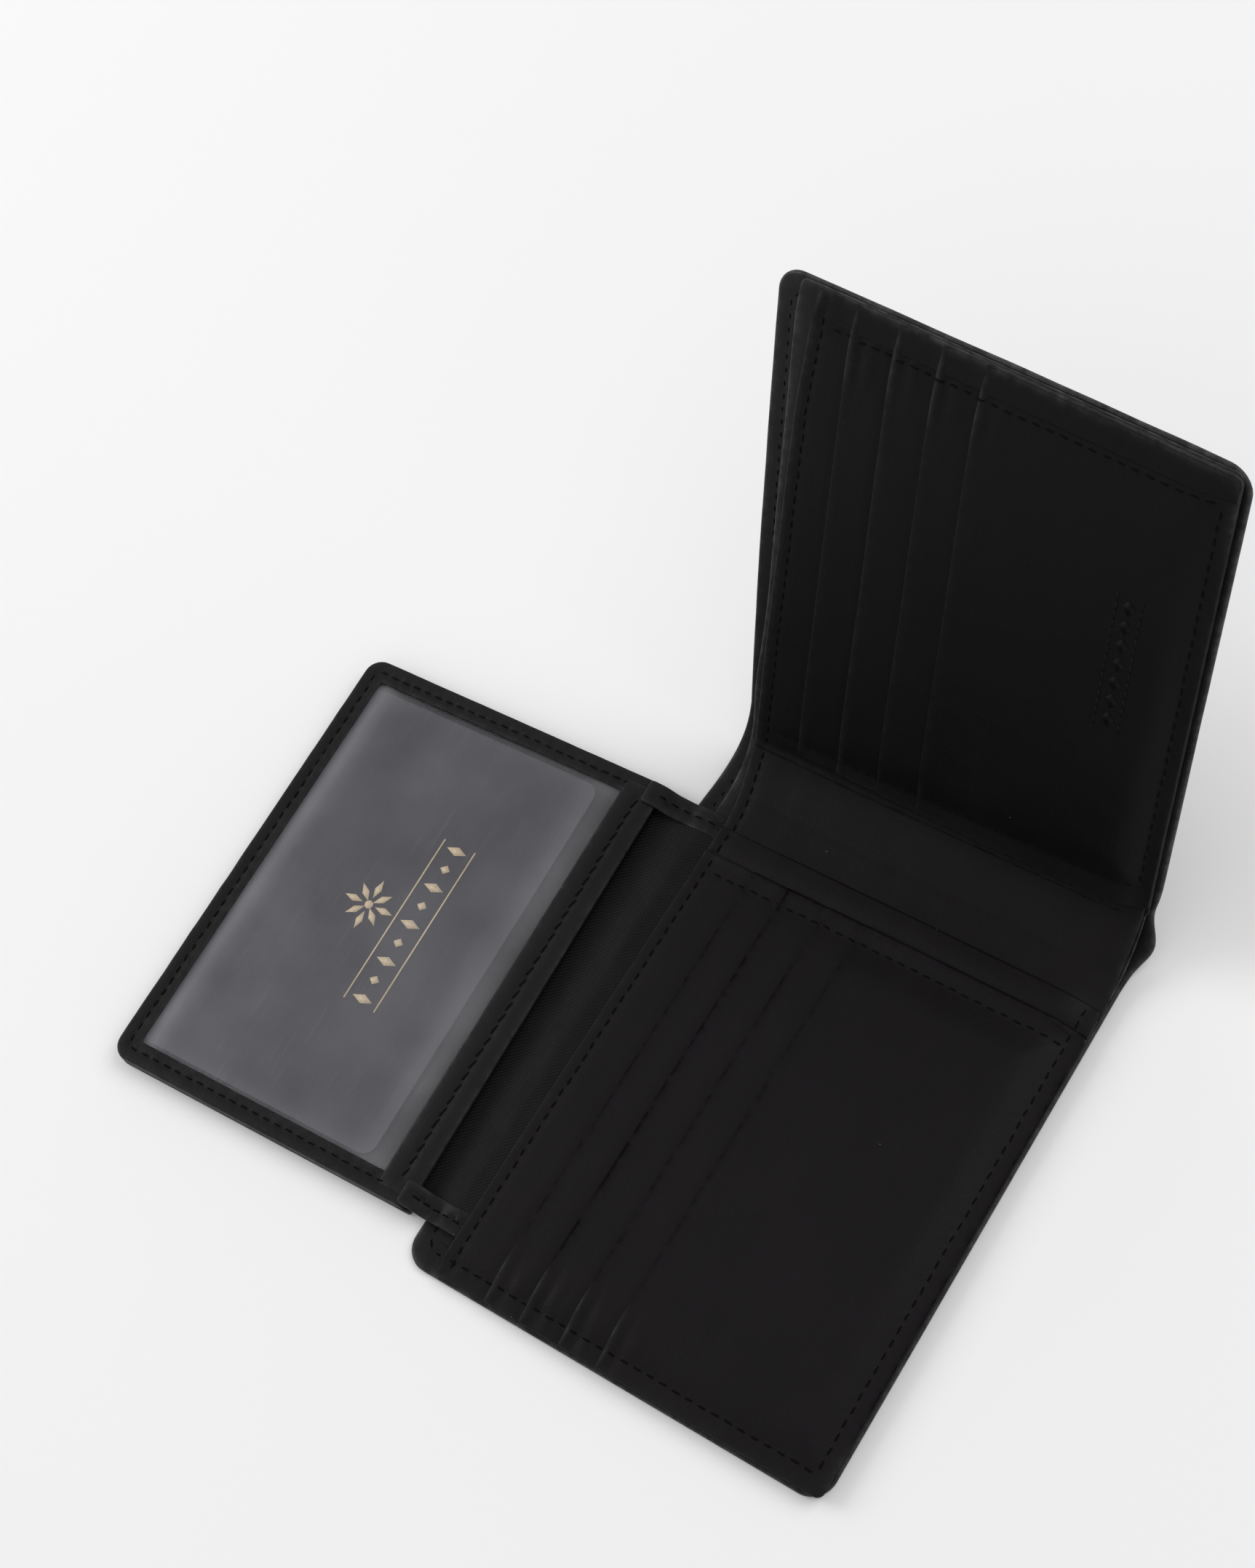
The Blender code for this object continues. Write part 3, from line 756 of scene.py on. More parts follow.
def panel_pockets(prefix, place, edges, starts, end, slots, seams, hem, seed, look):
    """The back leaf and four pocket leaves of one card panel, with their stitches.

    edges are the back leaf's left edge, a function of w, and the panel's right edge; starts
    are where the back leaf and the pockets begin; look is the leather, how much the slots' edges
    are rubbed and lightened as painted highlight (less than nothing for raw, matt ones), and how
    deep a crease runs along them.
    """
    spine_side, free_side, right_side = seams
    panel_left, panel_right = edges
    material, rub, crease = look
    body = prefix + "_panel"
    nodes = ["inner_back_" + prefix] + ["card_pocket_%s_%d" % (prefix, i) for i in POCKETS]

    def press(u, w):
        near = np.minimum(np.abs(w - seam_at(free_side, u)), np.abs(w - seam_at(spine_side, u)))
        near = np.minimum(near, np.abs(right_side["at"] - u))
        beyond = (u > right_side["at"]) | (w > free_side["at"])
        return np.where(beyond, 1.0, hump(near, 4.5))

    def sag(u, w):
        return waves(u, w, (0.16, 24, seed), (0.05, 9, seed + 1)) - TUCK * tucked(u, w, end)

    def level(i, u, w):
        squeeze = 1 - 0.45 * press(u, w)
        return LEAF_TOP + sag(u, w) + i * LEAF_PITCH * squeeze

    def gather(u, w):
        """Where the seams pull the slots' edges up: next to both sewn ends."""
        far = hump(w - free_side["at"] + 3.0 * ramp(free_side["at"] - w, 1), 4.5)
        return far + 0.2 * hump(w - seam_at(spine_side, u) - 2.0, 3.0)

    lefts = [0.0] + slots + [panel_right]
    pieces = []
    for i, node_name in enumerate(nodes):
        left, following = lefts[i], lefts[i + 1]
        covered = i < len(slots)

        def top(u, w, distance, i=i, left=left, following=following, covered=covered):
            shown = ramp(following + 1.5 - u, 0.5) if covered else 1.0
            height = level(i, u, w) + shown * dents(u, w, seams)
            height = height + 0.40 * hump(w - starts[0] - 0.7, 0.7)
            if covered:
                height = height - crease * SLOT_DEPTHS[i] * hump(u - following + 0.1, 0.8)
            if i == 0:
                return height + dents(u, w, [hem])
            mouth = u - left
            height = height + 0.03 * bumps(u, w, 3.5, seed + 5)
            pull = gather(u, w) * (0.75 + 0.5 * bumps(u, w, 3.1, seed + 9))
            for away, rise, width in PUCKERS:
                height = height + rise * pull * hump(mouth - away, width)
            for hidden_slot in slots[:i - 1]:
                height = height - 0.05 * hump(u - hidden_slot - 0.4, 0.5)
            echo = 0.06 * hump(mouth - 2.6, 0.35) + 0.04 * hump(mouth - 4.3, 0.4)
            return height - shown * echo * ramp(bumps(u, w, 12, seed + i, 3), 0.3)

        def bottom(u, w, distance, i=i):
            return level(i - 1, u, w) + 0.04 if i else LEAF_BASE + sag(u, w)

        # Lightening of the leaves' edges, as rubbing and painted highlight: the back leaf's edges give the
        # foot's bright ridge, and the slots' edges are lightest where the seams pucker them.
        def rub_and_highlight(u, w, i=i):
            if i == 0:
                return 0.6 + 0 * u
            plain_edge = rub * SLOT_DEPTHS[i - 1]
            return plain_edge + (0.9 - plain_edge) * np.clip(gather(u, w), 0, 1)
        u_step = fine_between(left, following + 2, 0.72, 3.0) if covered else 0.72
        radii = (0.6, 1.5, 1.0, 1.5) if i == 0 else (0.1, 1.5, 0.1, 1.5)
        sides = (left, panel_right) if i else (panel_left, panel_right)
        piece, surface, _ = leaf("%s_leaf_%d" % (prefix, i), place, sides,
                                 (starts[min(i, 1)], end), radii, top, bottom, material,
                                 (u_step, 0.85), rub_and_highlight=rub_and_highlight)
        settle(piece, [node_name], body)
        pieces.append((left, following, surface))
    for k, row in enumerate(seams):
        sew_across(prefix, k, row, pieces, body)
    back, front = pieces[0][2], pieces[-1][2]
    sew(prefix + "_hem_thread", back, [row_points(hem)], body, seed)
    return level, front


def sew_across(prefix, k, row, pieces, body):
    """Sew one row across the stepped leaves, each stitch on the leaf that shows there."""
    middles, ways = row_points(row)
    for i, (left, following, surface) in enumerate(pieces):
        last = i == len(pieces) - 1
        here = (middles[:, 0] >= left) & ((middles[:, 0] < following) | last)
        if here.any():
            sew("%s_thread_%d_%d" % (prefix, k, i), surface, [(middles[here], ways[here])],
                body, 10 * k + i)


# ---- Lower panel and spine ----
def lower_panel():
    """The card panel that lies flat."""
    seams = (seam("w", 14.8, 3.6, 79.8), seam("w", 104.4, 0.6, 79.8), seam("u", 79.9, 11.6, 103.8))
    hem = seam("u", 2.2, 12.0, 106.0)
    panel_pockets("lower", on_lower, (lambda w: 0.0 * w, PANEL_RIGHT + 0.5), (PANEL_START,) * 2,
                  PANEL_END + 0.7, LOWER_SLOTS, seams, hem, 31, (PANEL_LEATHER, -1.0, 0.28))


def stack_height(u):
    """How much the pocket leaves raise what covers them, along u."""
    return LEAF_PITCH * sum(ramp(u - slot, 1.3) for slot in LOWER_SLOTS)


def spine_strip():
    """Leather strip between the lower card panel and the spine."""
    rows = [seam("u", 2.2, STRIP_START + 0.6, PANEL_START),
            seam("u", 79.9, STRIP_START + 0.8, PANEL_START)]

    def top(u, w, distance):
        belly = 0.16 * np.sin(np.clip((w - STRIP_START) / (PANEL_START - STRIP_START), 0, 1) * pi)
        wave = waves(u, w, (0.08, 11, 71), (0.04, 4, 72))
        wave = wave - 0.30 * hump(w - PANEL_START, 1.1) - TUCK * hump(PANEL_RIGHT - u, TUCK_WIDTH)
        return LEAF_TOP + 0.55 * stack_height(u) + belly + wave + dents(u, w, rows)

    def bottom(u, w, distance):
        return LEAF_BASE - TUCK * hump(PANEL_RIGHT - u, TUCK_WIDTH)
    # The strip's edges are lightened a little, as rubbing and painted highlight.
    piece, surface, _ = leaf("spine_strip", on_lower, (0.1, PANEL_RIGHT + 0.5),
                             (STRIP_START, PANEL_START + 0.25), (0.5, 1.0, 0.2, 0.2),
                             top, bottom, PANEL_LEATHER, (0.9, 0.5),
                             rub_and_highlight=lambda u, w: 0.3 + 0 * u)
    settle(piece, ["spine_strip_lower"], "lower_panel")
    sew("spine_strip_thread", surface, [row_points(row) for row in rows],
        "lower_panel", 5)


def split_layer(name, place, run, ends, sides, radius, thickness, relief, under, material,
                nodes, step, seams=()):
    """A layer over the spine, in two pieces that meet in the middle of the spine.

    Each piece spans one crease and is baked where it lies.  relief and under shape its two faces; a seam
    is a name, whether it lies on the upper face, and its stitches.
    """
    middle = 0.5 * run
    halves = (("lower", (ends[0], middle), (radius, radius, 0, 0), (False, True), LOWER_BEND),
              ("upper", (middle, ends[1]), (0, 0, radius, radius), (True, False), UPPER_BEND))

    def top(u, s, distance):
        return thickness + relief(u, s)

    def bottom(u, s, distance):
        return under(u, s)
    for k, (half, span, radii, capped, bend) in enumerate(halves):
        piece, above, below = leaf(name + "_" + half, place, sides, span, radii, top, bottom,
                                   material, (step, step), capped)
        settle(piece, nodes[k], bend)
        for row_name, upper_face, (middles, ways) in seams:
            here = (middles[:, 1] < middle) if k == 0 else (middles[:, 1] >= middle)
            if here.any():
                sew("%s_%s_%s" % (name, row_name, half), above if upper_face else below,
                    [(middles[here], ways[here])], bend, k + 3)


def blend_between(a, b, start, end):
    """A smooth change from a to b as s goes from start to end."""
    def value(s):
        t = np.clip((s - start) / (end - start), 0, 1)
        return a + (b - a) * t * t * (3 - 2 * t)
    return value


def hem_loop(left, right, ends, inset, end_inset, radius=3.2, steps=5, pitch=2.0):
    """A closed line of flat points inside a layer's outline, starting half way up its left."""
    low, high = ends[0] + end_inset, ends[1] - end_inset
    half = 0.5 * (ends[0] + ends[1])
    points = [(left(s) + inset, s) for s in np.arange(half, low + radius, -pitch)]
    corners = ((left, low + radius, 1, pi), (right, low + radius, -1, 1.5 * pi),
               (right, high - radius, -1, 0.0), (left, high - radius, 1, 0.5 * pi))
    for side_of, centre_s, sign, turn in corners:
        centre_u = float(side_of(centre_s)) + sign * (inset + radius)
        for k in range(steps + 1):
            angle = turn + 0.5 * pi * k / steps
            points.append((centre_u + radius * cos(angle), centre_s + radius * sin(angle)))
        if side_of is right and turn > 0:
            straight = np.arange(low + radius + pitch, high - radius, pitch)
            points += [(right(s) - inset, s) for s in straight]
    points += [(left(s) + inset, s) for s in np.arange(high - radius - pitch, half, -pitch)]
    return np.array(points)


def outer_leather():
    """The outer leather with its turned and stitched hems, right round the wallet."""
    start, end, run = 1.5, 6.5, 21.0
    place = crossing(0.0, start, end, 1.0, 1.0, (9.0, 8.0), run)
    ends = (-SHELL_END - start, run + UPPER_END - end)
    left = blend_between(SHELL_LEFT, UPPER_SHELL_LEFT, -8, run)

    def right(s):
        bulge = 2.2 * hump(s - 0.42 * run, 0.22 * run)
        return SHELL_RIGHT + bulge + 0.9 * ramp(s - 0.85 * run, 1.2)
    hem_inset, end_inset = 2.9, 3.9
    low, high = ends[0] + end_inset, ends[1] - end_inset
    rows = [seam("u", lambda s: left(s) + hem_inset, low + 3, high - 3),
            seam("u", lambda s: right(s) - hem_inset, low + 3, high - 3),
            seam("w", low, SHELL_LEFT + hem_inset + 3, SHELL_RIGHT - 6),
            seam("w", high, SHELL_LEFT + hem_inset + 3, SHELL_RIGHT - 6)]

    def relief(u, s):
        hem = 0.10 * ramp(left(s) + 5.2 - u, 0.15)
        standing = np.clip(s + 10, 0, 1)
        open_side = ramp(2.0 - u, 0.5)
        wave = waves(u, s, (0.08, 16, 91), (0.12 * standing, 7, 92))
        return open_side * dents(u, s, rows) + hem + wave

    def under(u, s):
        lifted = np.clip(s, 0, 6) / 6
        wave = waves(u, s, (0.25, 22, 93), (0.10, 8, 94))
        return lifted * wave - dents(u, s, rows, 0.25)
    spots, ways = path_points(hem_loop(left, right, ends, hem_inset, end_inset))
    shown = spots[:, 0] < -0.4
    seams = [("inside_thread", True, (spots[shown], ways[shown])),
             ("outside_thread", False, (spots, ways))]
    nodes = (["shell_lower", "spine_shell"], ["shell_upper", "shell_bend"])
    split_layer("outer_leather", place, run, ends, (left, right), 5.0, SHELL_THICK, relief, under,
                OUTER_LEATHER, nodes, 0.95, seams)


def lining():
    """Lining cloth sewn under the turned hems of the outer leather."""
    start, end, run = 1.5, 6.5, 21.0
    place = crossing(SHELL_THICK + 0.06, start, end, 0.95, 1.0, (8.5, 7.5), run)
    inset, end_inset = 3.6, 6
    left = blend_between(SHELL_LEFT + inset, UPPER_SHELL_LEFT + inset, -8, run)

    def relief(u, s):
        return waves(u, s, (0.12, 13, 95), (0.05, 5, 96))
    ends = (-SHELL_END - start + end_inset, run + UPPER_END - end - end_inset)
    nodes = (["shell_lining_lower", "spine_shell_lining"], ["shell_lining_upper"])
    split_layer("lining", place, run, ends, (left, SHELL_RIGHT - 5.5), 3.0, 0.42, relief,
                lambda u, s: 0 * u, LINING, nodes, 2.2)


def divider():
    """The leaf that divides the bill compartment."""
    start, end, run = -1.0, 6.5, 20.5
    place = crossing(DIVIDER_BASE, start, end, 0.4, 0.5, (8.0, 6.5), run)
    ends = (-PANEL_END - start - 0.3, run + UPPER_PANEL_END - end)
    foot = blend_between(DIVIDER_LEFT + 0.4, UPPER_DIVIDER_LEFT, -8, run)
    corner = blend_between(3.8, 0.0, ends[0] + 4, ends[0] + 22)

    def left(s):
        return foot(s) + corner(s) - 1.0 * hump(s - run - 6, 13)

    def lowered(u, s):
        both_ends = tucked(u, -s, -ends[0]) + tucked(u, s, ends[1])
        return 0.75 * TUCK * (both_ends - hump(PANEL_RIGHT - u, TUCK_WIDTH))

    def relief(u, s):
        hem = 0.05 * ramp(left(s) + 3.0 - u, 0.15)
        return hem + waves(u, s, (0.10, 17, 97), (0.04, 5, 98)) - lowered(u, s)

    def under(u, s):
        return 0.08 * bumps(u, s, 17, 97) - lowered(u, s)
    thickness = DIVIDER_TOP - DIVIDER_BASE - 0.15
    split_layer("divider", place, run, ends, (left, PANEL_RIGHT + 0.3), 1.5, thickness, relief,
                under, OUTER_LEATHER,
                (["bill_divider_lower"], ["bill_divider_upper"]), 1.5)


def spine_cover():
    """Inner leather from under the strip, over the spine and behind the upper card panel."""
    start, end, run = -6.5, 4.0, 24.0
    left = blend_between(0.2, UPPER_LEAF_LEFT, 2.0, 17.0)
    right = blend_between(PANEL_RIGHT + 0.8, PANEL_RIGHT, 0.0, 10.0)

    def level(u):
        return LEAF_BASE - 0.3 + 0.45 * stack_height(u) - TUCK * hump(PANEL_RIGHT - u, TUCK_WIDTH)
    place = crossing(level, start, end, 0.0, 0.0, (9.0, 6.0), run, 2.2)
    row = seam("u", lambda s: left(s) + 2.2, 0.5, run - 3)

    def relief(u, s):
        crease = -0.22 * hump(s - 8.0 - 0.8 * bumps(u, 0 * u, 20, 61), 1.2)
        return crease + waves(u, s, (0.12, 12, 62), (0.06, 4, 63)) + dents(u, s, [row])
    split_layer("spine_cover", place, run, (-0.8, run + 2.5), (left, right), 0.4, 0.5, relief,
                lambda u, s: 0 * u, PANEL_LEATHER, (["spine_lining"], []), 0.7,
                [("thread", True, row_points(row))])


# ---- Upper panel ----
def upper_left_edge(w):
    """The back leaf's left edge: it bows outwards, and comes back in near the top."""
    return UPPER_LEAF_LEFT * (1 - ramp(w - 88.0, 4.0))


def upper_panel():
    """The card panel that stands, with the band along its top and the stamped ornament."""
    seams = (seam("w", lambda u: 5.6 + 2.9 * u / PANEL_RIGHT, 3.0, 79.8),
             seam("w", 97.3, 4.0, 79.8), seam("u", 80.4, 9.2, 96.5))
    hem = seam("u", lambda w: upper_left_edge(w) + 2.3, 1.5, 102.0)
    level, front = panel_pockets("upper", on_upper, (upper_left_edge, UPPER_LEAF_RIGHT), (0.3, 3.2),
                                 UPPER_PANEL_END, UPPER_SLOTS, seams, hem, 47,
                                 (SHADED_UPPER_LEATHER, 0.35, 0.16))
    top_band(level, hem)
    stamped_ornament(front)


def top_band(level, hem):
    """The turned band that closes the upper panel's pockets along its top."""
    def top(u, w, distance):
        step = sum(ramp(u - slot, 0.7) for slot in UPPER_SLOTS)
        squeezed = LEAF_PITCH * 0.55 * step
        return level(0, u, w) + squeezed + 0.16 + 0.05 * bumps(u, w, 6, 73) + dents(u, w, [hem])

    def bottom(u, w, distance):
        return level(0, u, w) - 0.3
    # The band's top rim is lightened as a painted highlight along its rounded edge.
    piece, _, _ = leaf("upper_top_band", on_upper, (0.3, UPPER_LEAF_RIGHT),
                       (TOP_BAND, UPPER_PANEL_END + 0.1), (0.3, 0.3, 1.5, 1.5), top, bottom,
                       SHADED_UPPER_LEATHER, (0.8, 0.6), rub_and_highlight=lambda u, w: ramp(w - 101.0, 0.5))
    settle(piece, (), "upper_panel")


def stamped_ornament(surface):
    """A plain raised row of lozenges between two lines of short bars, on the front pocket."""
    middle_u, line_off, line_half, bar = 69.0, 2.4, 0.16, 2.0
    loops = [lozenge(middle_u, w, 1.3, 1.7, 0.0) for w in np.arange(46.0, 73.0, 4.2)]
    for line in (middle_u - line_off, middle_u + line_off):
        loops += [box_loop((line - line_half, line + line_half), (w, w + bar))
                  for w in np.arange(43.5, 73.0, bar)]
    piece = outline_plate("upper_emboss", loops, surface, SHADED_UPPER_LEATHER, -0.05, 0.12)
    settle(piece, (), "upper_panel")


def lozenge(u, w, long, wide, turn):
    corners = ((long, 0), (0, wide), (-long, 0), (0, -wide))
    return [(u + a * cos(turn) - b * sin(turn), w + a * sin(turn) + b * cos(turn)) for a, b in corners]


def box_loop(u_ends, w_ends):
    (a, b), (c, d) = u_ends, w_ends
    return [(a, c), (b, c), (b, d), (a, d)]


# ---- Card flap ----
def border_ring(start, steps=7):
    """Matching outer and inner points of the border, from one arm's end to the other's."""
    far, half = FLAP_WIDTH, FLAP_HALF
    edge = FLAP_BORDER + WINDOW_RADIUS
    arm = np.arange(start, far - edge - 0.3, BORDER_PITCH)
    side_w = np.arange(half - edge - 0.7, -(half - edge - 0.7) - 0.01, -BORDER_PITCH)

    def ring(inset, from_corner, radius):
        turns = [0.5 * pi * k / steps for k in range(steps + 1)]
        first = [(a, half - inset) for a in arm]
        first += [(far - from_corner + radius * sin(turn), half - from_corner + radius * cos(turn))
                  for turn in turns]
        last = [(a, -b) for a, b in reversed(first)]
        return np.array(first + [(far - inset, b) for b in side_w] + last)
    return ring(0, FLAP_RADIUS, FLAP_RADIUS), ring(FLAP_BORDER, edge, WINDOW_RADIUS)


def flap_border():
    """Leather border round three sides of the window, with its turned outer edge."""
    edge, turned_width = 0.55, 1.4
    outer, inner = border_ring(1.0)
    across = grid_lines(0, FLAP_BORDER, 0.5)
    share = across / FLAP_BORDER
    spots = outer[:, None, :] + (inner - outer)[:, None, :] * share[None, :, None]
    u, w = spots[..., 0], spots[..., 1]
    legs = np.linalg.norm(np.diff(0.5 * (outer + inner), axis=0), axis=1)
    walked = np.concatenate([[0], np.cumsum(legs)])[:, None] + 0 * u
    distance = np.minimum(across[None, :] + 0 * u, FLAP_BORDER - across[None, :])
    distance = np.minimum(distance, np.minimum(walked, walked[-1, 0] - walked))
    from_edge = across[None, :] + 0 * u
    count = round(walked[-1, 0] / STITCH_PITCH)
    row = {"axis": "u", "at": FLAP_SEAM, "start": 0.0, "end": walked[-1, 0], "count": count,
           "pitch": walked[-1, 0] / count}
    wave = waves(walked, from_edge, (0.09, 5, 81), (0.05, 2.2, 82))
    top = FRAME_TOP + wave + dents(from_edge, walked, [row], 0.26) - 0.25 * ramp(from_edge - 3.6, 0.5)
    turned_down = ramp(turned_width - from_edge, 0.12)
    bottom = FRAME_BASE - (FRAME_BASE - BACK_TOP - 0.05) * turned_down
    piece = thick_sheet("flap_border", on_flap, u, w, distance, top, bottom, edge, FLAP_LEATHER)
    settle(piece, ["flap_frame"], "card_flap")
    line = outer + (inner - outer) * (FLAP_SEAM / FLAP_BORDER)

    def surface(a, b, lift=0.0):
        return on_flap(a, b, FRAME_TOP - 0.22 + lift)
    sew("flap_border_thread", surface, [path_points(line)], "card_flap", 8)


def inside_flap(inset):
    """The flap's extent along w, less an inset at both ends."""
    return inset - FLAP_HALF, FLAP_HALF - inset


def flap_back():
    """Outer leather of the flap's back, stitched all round."""
    low, high = inside_flap(FLAP_SEAM)
    rows = [seam("u", FLAP_WIDTH - FLAP_SEAM, *inside_flap(4)), seam("u", 3.4, -46, 46),
            seam("w", high, 3.5, FLAP_WIDTH - 4), seam("w", low, 3.5, FLAP_WIDTH - 4)]

    def bottom(u, w, distance):
        return 0.0 * u - dents(u, w, rows, 0.25)
    piece, _, below = leaf("flap_back_leather", on_flap, (0.0, FLAP_WIDTH), inside_flap(0),
                           (0.5, FLAP_RADIUS, 0.5, FLAP_RADIUS), BACK_TOP, bottom, OUTER_LEATHER,
                           (1.2, 1.2))
    settle(piece, ["flap_back"], "card_flap")
    sew("flap_back_thread", below, [row_points(row) for row in rows],
        "card_flap", 12)


def flap_lining():
    """Lining cloth behind the insert card."""
    piece, _, _ = leaf("flap_lining_cloth", on_flap, (0.6, FLAP_WIDTH - 1.6), inside_flap(1.6),
                       (0.5, 3, 0.5, 3), lambda u, w, d: 1.62 + 0.05 * bumps(u, w, 9, 83), 1.32,
                       LINING, (2.0, 2.0))
    settle(piece, ["flap_lining"], "card_flap")


def insert_card():
    """The card behind the film, with its printed ornament."""
    start = (FLAP_EDGE_X - side("insert_card", X, HIGH)) / cos(FLAP_TURN) + CARD_INSET

    def top(u, w, distance):
        return CARD_TOP + 0.10 * bumps(u, w, 30, 84)
    piece, above, _ = leaf("insert_card_sheet", on_flap, (start, start + CARD_WIDTH),
                           (-CARD_HEIGHT / 2, CARD_HEIGHT / 2), (3.0, 3.0, 3.0, 3.0), top,
                           CARD_BASE + 0.02, CARD, (2.0, 2.0))
    settle(piece, ["insert_card"], "card")
    card_ornament(above, start)


def window_film():
    """Clear film, crowned inside its sewn edges; its rim attribute is how much milkier and lighter it is
    made near those edges, as haze and painted reflection.
    """
    def top(u, w, distance):
        crown = 0.34 * (1 - np.exp(-np.maximum(distance - 3.0, 0) / 4.0))
        return FILM_TOP - 0.02 + crown + 0.07 * bumps(u, w, 26, 85)
    piece, _, _ = leaf("window_film_sheet", on_flap, (1.2, FLAP_WIDTH - 1.8), inside_flap(1.8),
                       (0.5, 2.5, 0.5, 2.5), top, lambda u, w, d: top(u, w, d) - 0.16, FILM,
                       (1.4, 1.4))
    spots = np.zeros(len(piece.data.vertices) * 3)
    piece.data.attributes["flat"].data.foreach_get("vector", spots)
    u, w = spots.reshape(-1, 3)[:, 0], spots.reshape(-1, 3)[:, 1]
    window = FLAP_HALF - FLAP_BORDER
    # Milkier and lighter near the window's edges: haze and painted reflection.
    rim_haze_and_reflection = hump(u - (FLAP_WIDTH - FLAP_BORDER), 3.4) + 0.45 * hump(u - 12.0, 4.0)
    rim_haze_and_reflection = rim_haze_and_reflection + 0.35 * hump(w + window, 2.2) + 0.25 * hump(window - w, 2.2)
    layer = piece.data.attributes.new("rim_haze_and_reflection", "FLOAT", "POINT")
    layer.data.foreach_set("value", np.clip(rim_haze_and_reflection, 0, 1))
    settle(piece, ["window_film"], "card_flap")


def mouth_strip():
    """Leather strip along the mouth that the card slides out of."""
    width, (low, high) = 8.0, inside_flap(2.0)
    row = seam("u", 4.1, low + 3, high - 3)

    def top(u, w, distance):
        crown = 0.22 * np.sin(np.clip(u / width, 0, 1) * pi)
        wave = waves(u, w, (0.08, 6, 86), (0.05, 2.5, 87))
        return FRAME_TOP - 0.15 + crown + wave + dents(u, w, [row], 0.3)
    piece, above, _ = leaf("flap_mouth_strip", on_flap, (0.0, width), (low, high),
                           (0.5, 0.5, 0.5, 0.5), top, FRAME_BASE + 0.1, FLAP_LEATHER, (0.6, 0.75))
    settle(piece, ["mouth_strip"], "card_flap")
    sew("flap_mouth_thread", above, [row_points(row)], "card_flap", 14,
        length=2.3, slant=0.25)


def outline_plate(name, loops, surface, material, lift=0.012, thick=0.03):
    """Flat printed shapes: each loop of flat points becomes a thin closed plate."""
    points, faces = [], []
    for loop in loops:
        loop = np.array(loop, float)
        first = len(points)
        points += surface(loop[:, 0], loop[:, 1], lift + thick).tolist()
        points += surface(loop[:, 0], loop[:, 1], lift).tolist()
        n = len(loop)
        faces.append(tuple(range(first, first + n)))
        faces.append(tuple(range(first + 2 * n - 1, first + n - 1, -1)))
        for k in range(n):
            j = (k + 1) % n
            faces.append((first + j, first + k, first + n + k, first + n + j))
    points = np.array(points)
    return link(name, points, faces, material, {"flat": points})


def card_ornament(surface, start):
    """A plain ornament: a rosette of lozenges over a row of them between two lines."""
    middle_u, middle_w = start + 0.36 * CARD_WIDTH, 1.0
    crest_u, row_u, line_half, row_half = middle_u + 9.0, middle_u - 1.0, 0.15, 19

    def ring(radius, count):
        turns = [2 * pi * k / count for k in range(count)]
        return [(crest_u + radius * cos(turn), middle_w + radius * sin(turn)) for turn in turns]
    loops = [ring(0.9, 16)]
    for k in range(8):
        turn = 2 * pi * k / 8
        reach = 3.6 if k % 2 == 0 else 2.9
        loops.append(lozenge(crest_u + reach * cos(turn), middle_w + reach * sin(turn), 2.1, 0.75, turn))
    for k in range(-4, 5):
        long = 2.3 if k % 2 == 0 else 1.1
        loops.append(lozenge(row_u, middle_w + 4.4 * k, long, 1.0, 0.0))
    for line in (row_u - 3.6, row_u + 3.6):
        loops.append(box_loop((line - line_half, line + line_half),
                              (middle_w - row_half, middle_w + row_half)))
    piece = outline_plate("card_ornament", loops, surface, INK)
    settle(piece, (), "card")


# ---- Cloth hinge ----
def smooth_section(points, count=60):
    """A rounded curve through (x, z) points, as a function of the distance along it."""
    p = np.array(points, float)
    padded = np.vstack([2 * p[0] - p[1], p, 2 * p[-1] - p[-2]])
    dense = []
    for k in range(1, len(padded) - 2):
        a, b, c, d = padded[k - 1:k + 3]
        t = np.linspace(0, 1, count)[:, None]
        dense.append(0.5 * (2 * b + (c - a) * t + (2 * a - 5 * b + 4 * c - d) * t ** 2
                            + (3 * b - a - 3 * c + d) * t ** 3))
    dense = np.vstack(dense)
    keep = np.concatenate([[True], np.linalg.norm(np.diff(dense, axis=0), axis=1) > 1e-9])
    dense = dense[keep]
    walked = np.concatenate([[0], np.cumsum(np.linalg.norm(np.diff(dense, axis=0), axis=1))])
    ways = np.gradient(dense, walked, axis=0)

    def at(s):
        spot = [np.interp(s, walked, dense[:, k]) for k in (0, 1)]
        way = [np.interp(s, walked, ways[:, k]) for k in (0, 1)]
        return spot, way
    return at, walked[-1]


def hinge_place(points, hem_x):
    """Place on a strip whose section runs from the flap to the hem: s, y along, v up."""
    at, length = smooth_section(points)

    def place(s, y, v):
        s, y, v = np.broadcast_arrays(s, y, v)
        (x, z), (dx, dz) = at(s)
        skew = -(y - FLAP_MIDDLE_Y) * sin(FLAP_TURN) * np.clip((hem_x - x) / (hem_x - FLAP_EDGE_X), 0, 1.2)
        return stack(x + skew - dz * v, y, z + dx * v)
    return place, length


HINGE_BEND = ("lower_panel", "card_flap", layout_point(0.3, 0, 0), layout_point(-12.2, 0, 0))


